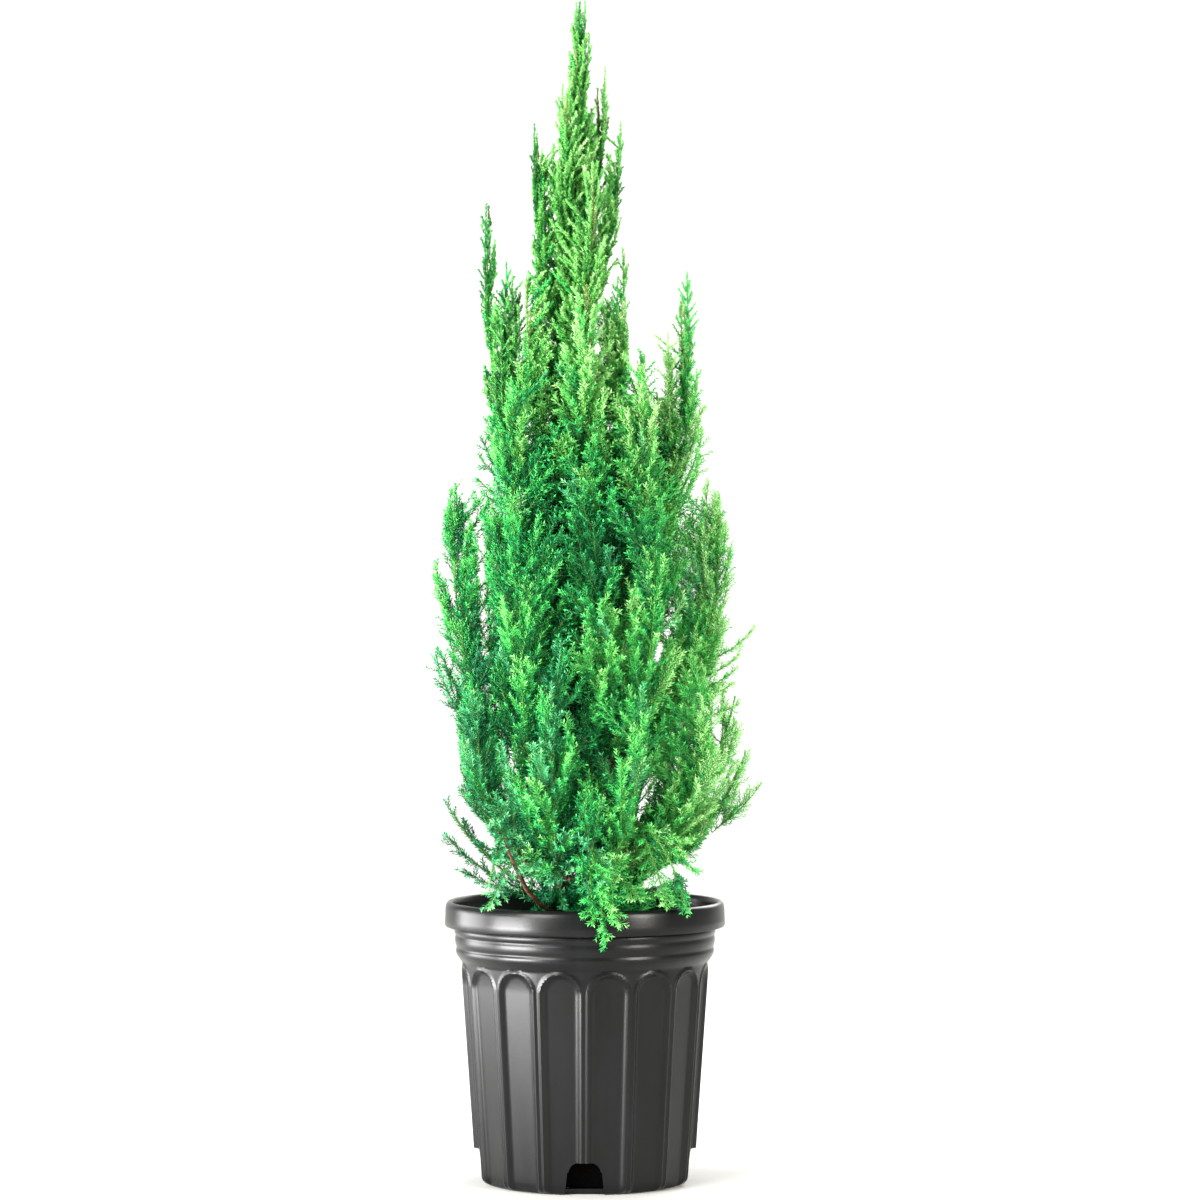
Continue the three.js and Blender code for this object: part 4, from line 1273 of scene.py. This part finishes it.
def whorlUnit(angle, width):  # three creased needles of unit length around +Z
    bm = bmesh.new()
    points = [(0.02, 0, 0), (0.42, -width / 2, 0.08), (1, 0, 0), (0.42, width / 2, 0.08)]
    root, left, tip, right = (bm.verts.new(p) for p in points)
    bm.faces.new((root, left, tip))
    bm.faces.new((root, tip, right))
    bmesh.ops.rotate(bm, verts=bm.verts[:], matrix=Matrix.Rotation(angle - math.pi / 2, 3, "Y"))
    first = bm.verts[:] + bm.edges[:] + bm.faces[:]
    for third in (1, 2):
        turned = vertsIn(bmesh.ops.duplicate(bm, geom=first)["geom"])
        bmesh.ops.rotate(bm, verts=turned, matrix=Matrix.Rotation(third * 2 * math.pi / 3, 3, "Z"))
    return arraysOf(bm)


tints = {  # plain greens, each list from the shaded inside to the freshest tips
    "green": ("#146a3a", "#269853", "#42be5e", "#60cc68", "#80d672", "#a2e08c"),
    "blue": ("#14603c", "#2c8a5a", "#4bae72", "#6cc080", "#8cd286", "#acde98"),
    "warm": ("#2c7c3c", "#4aa450", "#68be5c", "#80cc6c", "#9ad882", "#b6e29c"),
    "olive": ("#4c7240", "#68884c", "#84a05a", "#9cb46c", "#b2c682", "#c8d89c"),
}
tintSteps = (0.2, 0.35, 0.52, 0.68, 0.83)


# Each shoot's tint level, partly painted shade: darker the deeper its tip stands in its plume and in the
# plant, lighter and fresher up its spray
freshAndShadeBy = {"plume": 0.22, "plant": 0.3, "place": 0.33, "base": 0.03, "along": 0.3, "varies": 0.07}


def freshnessAndShade(depth, place, tips, moodAndLight):
    outer, plant = np.clip(depth / 1.1, 0, 1), exposureOf(tips)
    freshAndShade = freshAndShadeBy["plume"] * outer + freshAndShadeBy["plant"] * plant + freshAndShadeBy["place"] * place
    return freshAndShade - freshAndShadeBy["base"] + moodAndLight


moodsAndLight = {  # changes of the tint level, partly painted light and shade
    "slope": 0.15,  # painted light: lighter towards the right, where the light falls from
    "varies": 0.1,  # by spray
    "shootVaries": 0.05,
    "lone": 0.04,  # less on single sprays
    "spireTips": 0.22,  # less on the bare cords of the spire
    "lightPatches": (  # painted light and shade in patches: x, height and radius in front, and the change
        (-55, 326, 42, 0.2), (-118, 325, 50, -0.4), (2, 290, 34, -0.26), (104, 276, 36, -0.3),
        (-8, 324, 26, -0.34), (52, 322, 32, 0.2), (-24, 450, 60, -0.32), (18, 612, 50, -0.32),
        (35, 830, 75, 0.25), (95, 540, 120, 0.14), (16, 500, 36, 0.26), (50, 480, 30, -0.18),
        (98, 410, 50, 0.1), (14, 775, 42, 0.16), (8, 1020, 80, 0.14), (-125, 490, 34, -0.24),
        (-80, 620, 50, 0.06), (50, 400, 60, 0.02), (-62, 402, 38, 0.22), (50, 300, 30, 0.14),
    ),
}


# painted light and shade: lighter towards the right and in patches, as seen from the front
def paintedLightAt(tips):
    change = moodsAndLight["slope"] * np.clip(tips[:, 0] / 110, -1, 1)
    for x, height, radius, amount in moodsAndLight["lightPatches"]:
        away = np.hypot(tips[:, 0] - x, tips[:, 2] - height) / radius
        change += amount * np.exp(-(away**2)) * smoothStep(70, 0, tips[:, 1])
    return change


# Bluish in the shade of the lower left, warmer towards the top, olive on the bare cords of the spire
def familyOf(tips, isTip, draw):
    count = len(tips)
    bluish = smoothStep(20, -90, tips[:, 0]) * smoothStep(600, 330, tips[:, 2]) * 0.75 + 0.06
    family = (draw.random(count) < bluish).astype(int)
    family[draw.random(count) < 0.95 * smoothStep(620, 920, tips[:, 2])] = 2
    family[isTip & (draw.random(count) < 0.6 * smoothStep(700, 900, tips[:, 2]))] = 3
    return family


# Whorls up a set of bent shoots, whose feet are bare
def whorlPlaces(shoots, freshAndShade, family, bare, draw):
    foot, bend, tip = shoots["foot"], shoots["bend"], shoots["tip"]
    length = np.linalg.norm(tip - foot, axis=1)
    closed = closedness(tip[:, 2])
    seen = smoothStep(*needle["seen"], np.maximum(exposureOf(tip), closed))
    spacing = between((needle["innerSpacing"], between(needle["whorlSpacing"], closed)), seen)
    counts = np.maximum(2, np.round(length * (1 - bare) / spacing)).astype(int)
    owner, step = countedOut(counts)
    many = len(step)
    along = (bare + (1 - bare) * (step + 0.6) / counts[owner])[:, None]
    point = bezier(foot[owner], bend[owner], tip[owner], along)
    axis = unitVectors((1 - along) * (bend - foot)[owner] + along * (tip - bend)[owner])
    reference = unitVectors(np.cross(axis, draw.normal(0, 1, (len(length), 3))[owner]))
    turn = (step * math.pi / 3 + draw.normal(0, needle["turnVaries"], many))[:, None]
    side = reference * np.cos(turn) + np.cross(axis, reference) * np.sin(turn)
    along, seen = along[:, 0], seen[owner]
    closed = closedness(point[:, 2] + draw.normal(0, needle["closingVaries"], many))
    shorter = needle["tipShort"] * (1 - closed) * smoothStep(0.6, 1, along)
    size = between(needle["length"], closed) * (1 - shorter)
    size = size * draw.uniform(*needle["lengthVaries"], many) * between((needle["innerSize"], 1), seen)
    closed = np.maximum(closed, needle["tipClosed"] * smoothStep(0.7, 1, along))
    basis = np.stack([side, np.cross(axis, side), axis], axis=2) * size[:, None, None]
    # painted shade and fresh tips: the level picks the tint, darker inside and lighter towards a shoot's tip
    level = freshAndShade[owner] + freshAndShadeBy["along"] * (along - 0.55) + draw.normal(0, freshAndShadeBy["varies"], many)
    level = np.digitize(level, tintSteps)
    return {"point": point, "basis": basis, "closed": closed, "level": level, "family": family[owner]}


# Juniper needles: waxy and a little glossy, with a plain tint for each spray
def needleWax(name, hexColour):
    wax = {"Base Color": toLinear(hexColour), "Roughness": 0.5, "IOR": 1.45, "Specular IOR Level": 0.2}
    return newMaterial(name, wax)[0]


# The upper part of each plume's own stem, as bent shoots
def leafyStems():
    curves = []
    for index, limb in enumerate(limbs):
        foot, bend, tip = limb["curve"]
        low = stems["woodShare"] if foot[2] < stems["greenAbove"] else shoot["bareFoot"]
        start, end = stepsAt(limb, (low, stemEnd(index, limb, 0.97)))[:, 0]
        middle = (1 - start) * (1 - end) * foot + ((1 - start) * end + start * (1 - end)) * bend
        middle += start * end * tip
        curves.append((bezier(foot, bend, tip, start), middle, bezier(foot, bend, tip, end)))
    return dict(zip(("foot", "bend", "tip"), np.array(curves).swapaxes(0, 1)))


def makeNeedles(sprays, shoots):
    draw = np.random.default_rng(seeds["needles"])
    kind, tips = sprays["kind"], sprays["tip"]
    # painted light and shade on each spray by where it stands, and painted shade on the filling growth inside
    moodAndLight = draw.normal(0, moodsAndLight["varies"], len(kind)) + (paintedLightAt(tips) - moodsAndLight["lone"] * (kind == "lone"))
    moodAndLight -= moodsAndLight["spireTips"] * np.isin(kind, ("tip", "companion", "lone")) * closedness(tips[:, 2])
    moodAndLight -= spray["fillShade"] * np.isin(kind, ("fill", "trunk")) * (1 - closedness(sprays["foot"][:, 2]))
    _, depth = inSpace(tips, sprays["owner"], sprays["reach"])
    freshAndShade = freshnessAndShade(depth, np.full(len(depth), 0.6), tips, moodAndLight)
    family = familyOf(tips, np.isin(kind, ("tip", "companion")), draw)
    onSprays = whorlPlaces(sprays, freshAndShade, family, shoot["bareFoot"], draw)
    mine = shoots["spray"]
    moodAndLight = moodAndLight[mine] + draw.normal(0, moodsAndLight["shootVaries"], len(mine))
    freshAndShade = freshnessAndShade(shoots["depth"], shoots["place"], shoots["tip"], moodAndLight)
    onShoots = whorlPlaces(shoots, freshAndShade, family[mine], 0.0, draw)
    leafy, freshAndShade = leafyStems(), np.full(len(limbs), 0.5)
    onStems = whorlPlaces(leafy, freshAndShade, familyOf(leafy["tip"], freshAndShade < 0, draw), 0.0, draw)
    whorls = {key: np.concatenate([onSprays[key], onShoots[key], onStems[key]]) for key in onSprays}
    shapes = zip(needle["angles"], needle["widths"])
    (points, corners), (pressed, _) = (whorlUnit(*shape) for shape in shapes)
    colours = sorted({colour for family in tints.values() for colour in family})
    palette = np.array([[colours.index(colour) for colour in family] for family in tints.values()])
    colourOf = palette[whorls["family"], whorls["level"]]
    most = needle["pieceTriangles"] // len(corners)
    total = 0
    for index, colour in enumerate(colours):
        mine = np.flatnonzero(colourOf == index)
        mine = mine[np.argsort(whorls["point"][mine, 2])]
        wax = needleWax(f"needleWax_{colour[1:]}", colour)
        for number, chosen in enumerate(np.array_split(mine, max(1, math.ceil(len(mine) / most)))):
            name = f"needles_{colour[1:]}_{number + 1}"
            closed = whorls["closed"][chosen][:, None, None]
            shapes = points * (1 - closed) + pressed * closed
            copies = placeCopies(shapes, corners, whorls["point"][chosen], whorls["basis"][chosen])
            mesh = joinedMesh(name, [copies])
            addPiece(name, mesh, wax, foliageNodes)
            total += len(mesh.polygons)
        print("needles,", colour, len(mine) * len(corners), "triangles")
    print("needles in all,", total, "triangles")


# Stems up each plume and a bare one low in front, the sprays' own stems, and twigs under the side shoots
def makeStems(sprays, shoots):
    green = twigSkin("greenTwig")
    woody, soft = [stems["bare"]], []
    for index, limb in enumerate(limbs):
        bough = limb["bough"]
        hardened = stems["woodShare"] if limb["curve"][0][2] < stems["greenAbove"] else 0
        end = stemEnd(index, limb, 1 - stems["endBefore"] / limb["length"])
        for low, high, lines in ((bough - 0.01, hardened, woody), (hardened, end, soft)):
            if high > max(low, 0):
                shares = np.linspace(max(low, 0), high, 20)
                thinned = 1 - 0.5 * smoothStep(bough, bough + 0.25, shares)
                radii = [max(radiusAt(limb, s) * t, stems["leastRadius"]) for s, t in zip(shares, thinned)]
                lines.append(list(zip(pointsAt(limb, shares), radii)))
    addPiece("stems", sweepTube("stems", woody, 8), twigSkin("youngWood"), foliageNodes)
    addPiece("spire_stems", sweepTube("spire_stems", soft, 8), green, foliageNodes)

    lines = []
    least, gain = stems["sprayRadius"]
    for foot, bend, tip, length in zip(*(sprays[key] for key in ("foot", "bend", "tip", "length"))):
        thick = least + gain * length
        places = (0, 0.25, 0.5, 0.75, 0.98)
        lines.append([(bezier(foot, bend, tip, t), thick * (1 - stems["sprayTaper"] * t)) for t in places])
    addPiece("spray_stems", sweepTube("spray_stems", lines, 4), green, foliageNodes)

    bm = bmesh.new()
    bmesh.ops.create_cone(bm, cap_ends=True, segments=3, radius1=stems["twigRadius"], radius2=0, depth=1)
    bmesh.ops.translate(bm, vec=(0, 0, 0.5), verts=bm.verts[:])
    heading = shoots["tip"] - shoots["foot"]
    side = unitVectors(np.cross(heading, (0.3, 0.7, 0.1)))
    basis = np.stack([side, np.cross(unitVectors(heading), side), heading * 0.97], axis=2)
    twigs = joinedMesh("twigs", [placeCopies(*arraysOf(bm), shoots["foot"], basis)])
    addPiece("twigs", twigs, green, foliageNodes)
    print("twig triangles", len(twigs.polygons))


twigSkins = {  # roughness, fleck and its colours
    "youngWood": (0.75, {"Scale": 160, "Detail": 4}, ((0.38, "#3f2318"), (0.62, "#74483a"))),
    "greenTwig": (0.6, {"Scale": 120, "Detail": 3}, ((0.35, "#4c6a2c"), (0.65, "#5f9a3a"))),
}


# Year-old wood is smooth and brown. This year's shoots are still green, with a brown cast where they harden
def twigSkin(name):
    roughness, grain, stops = twigSkins[name]
    return grained(name, {"Roughness": roughness, "IOR": 1.45}, grain, stops)[0]


sprays = grownSprays()
shoots = grownShoots(sprays)
makeNeedles(sprays, shoots)
makeStems(sprays, shoots)
print("foliage made")

meshes = [o.data for o in bpy.data.objects if o.type == "MESH"]
print("triangles in all", sum(len(mesh.loops) - 2 * len(mesh.polygons) for mesh in meshes))
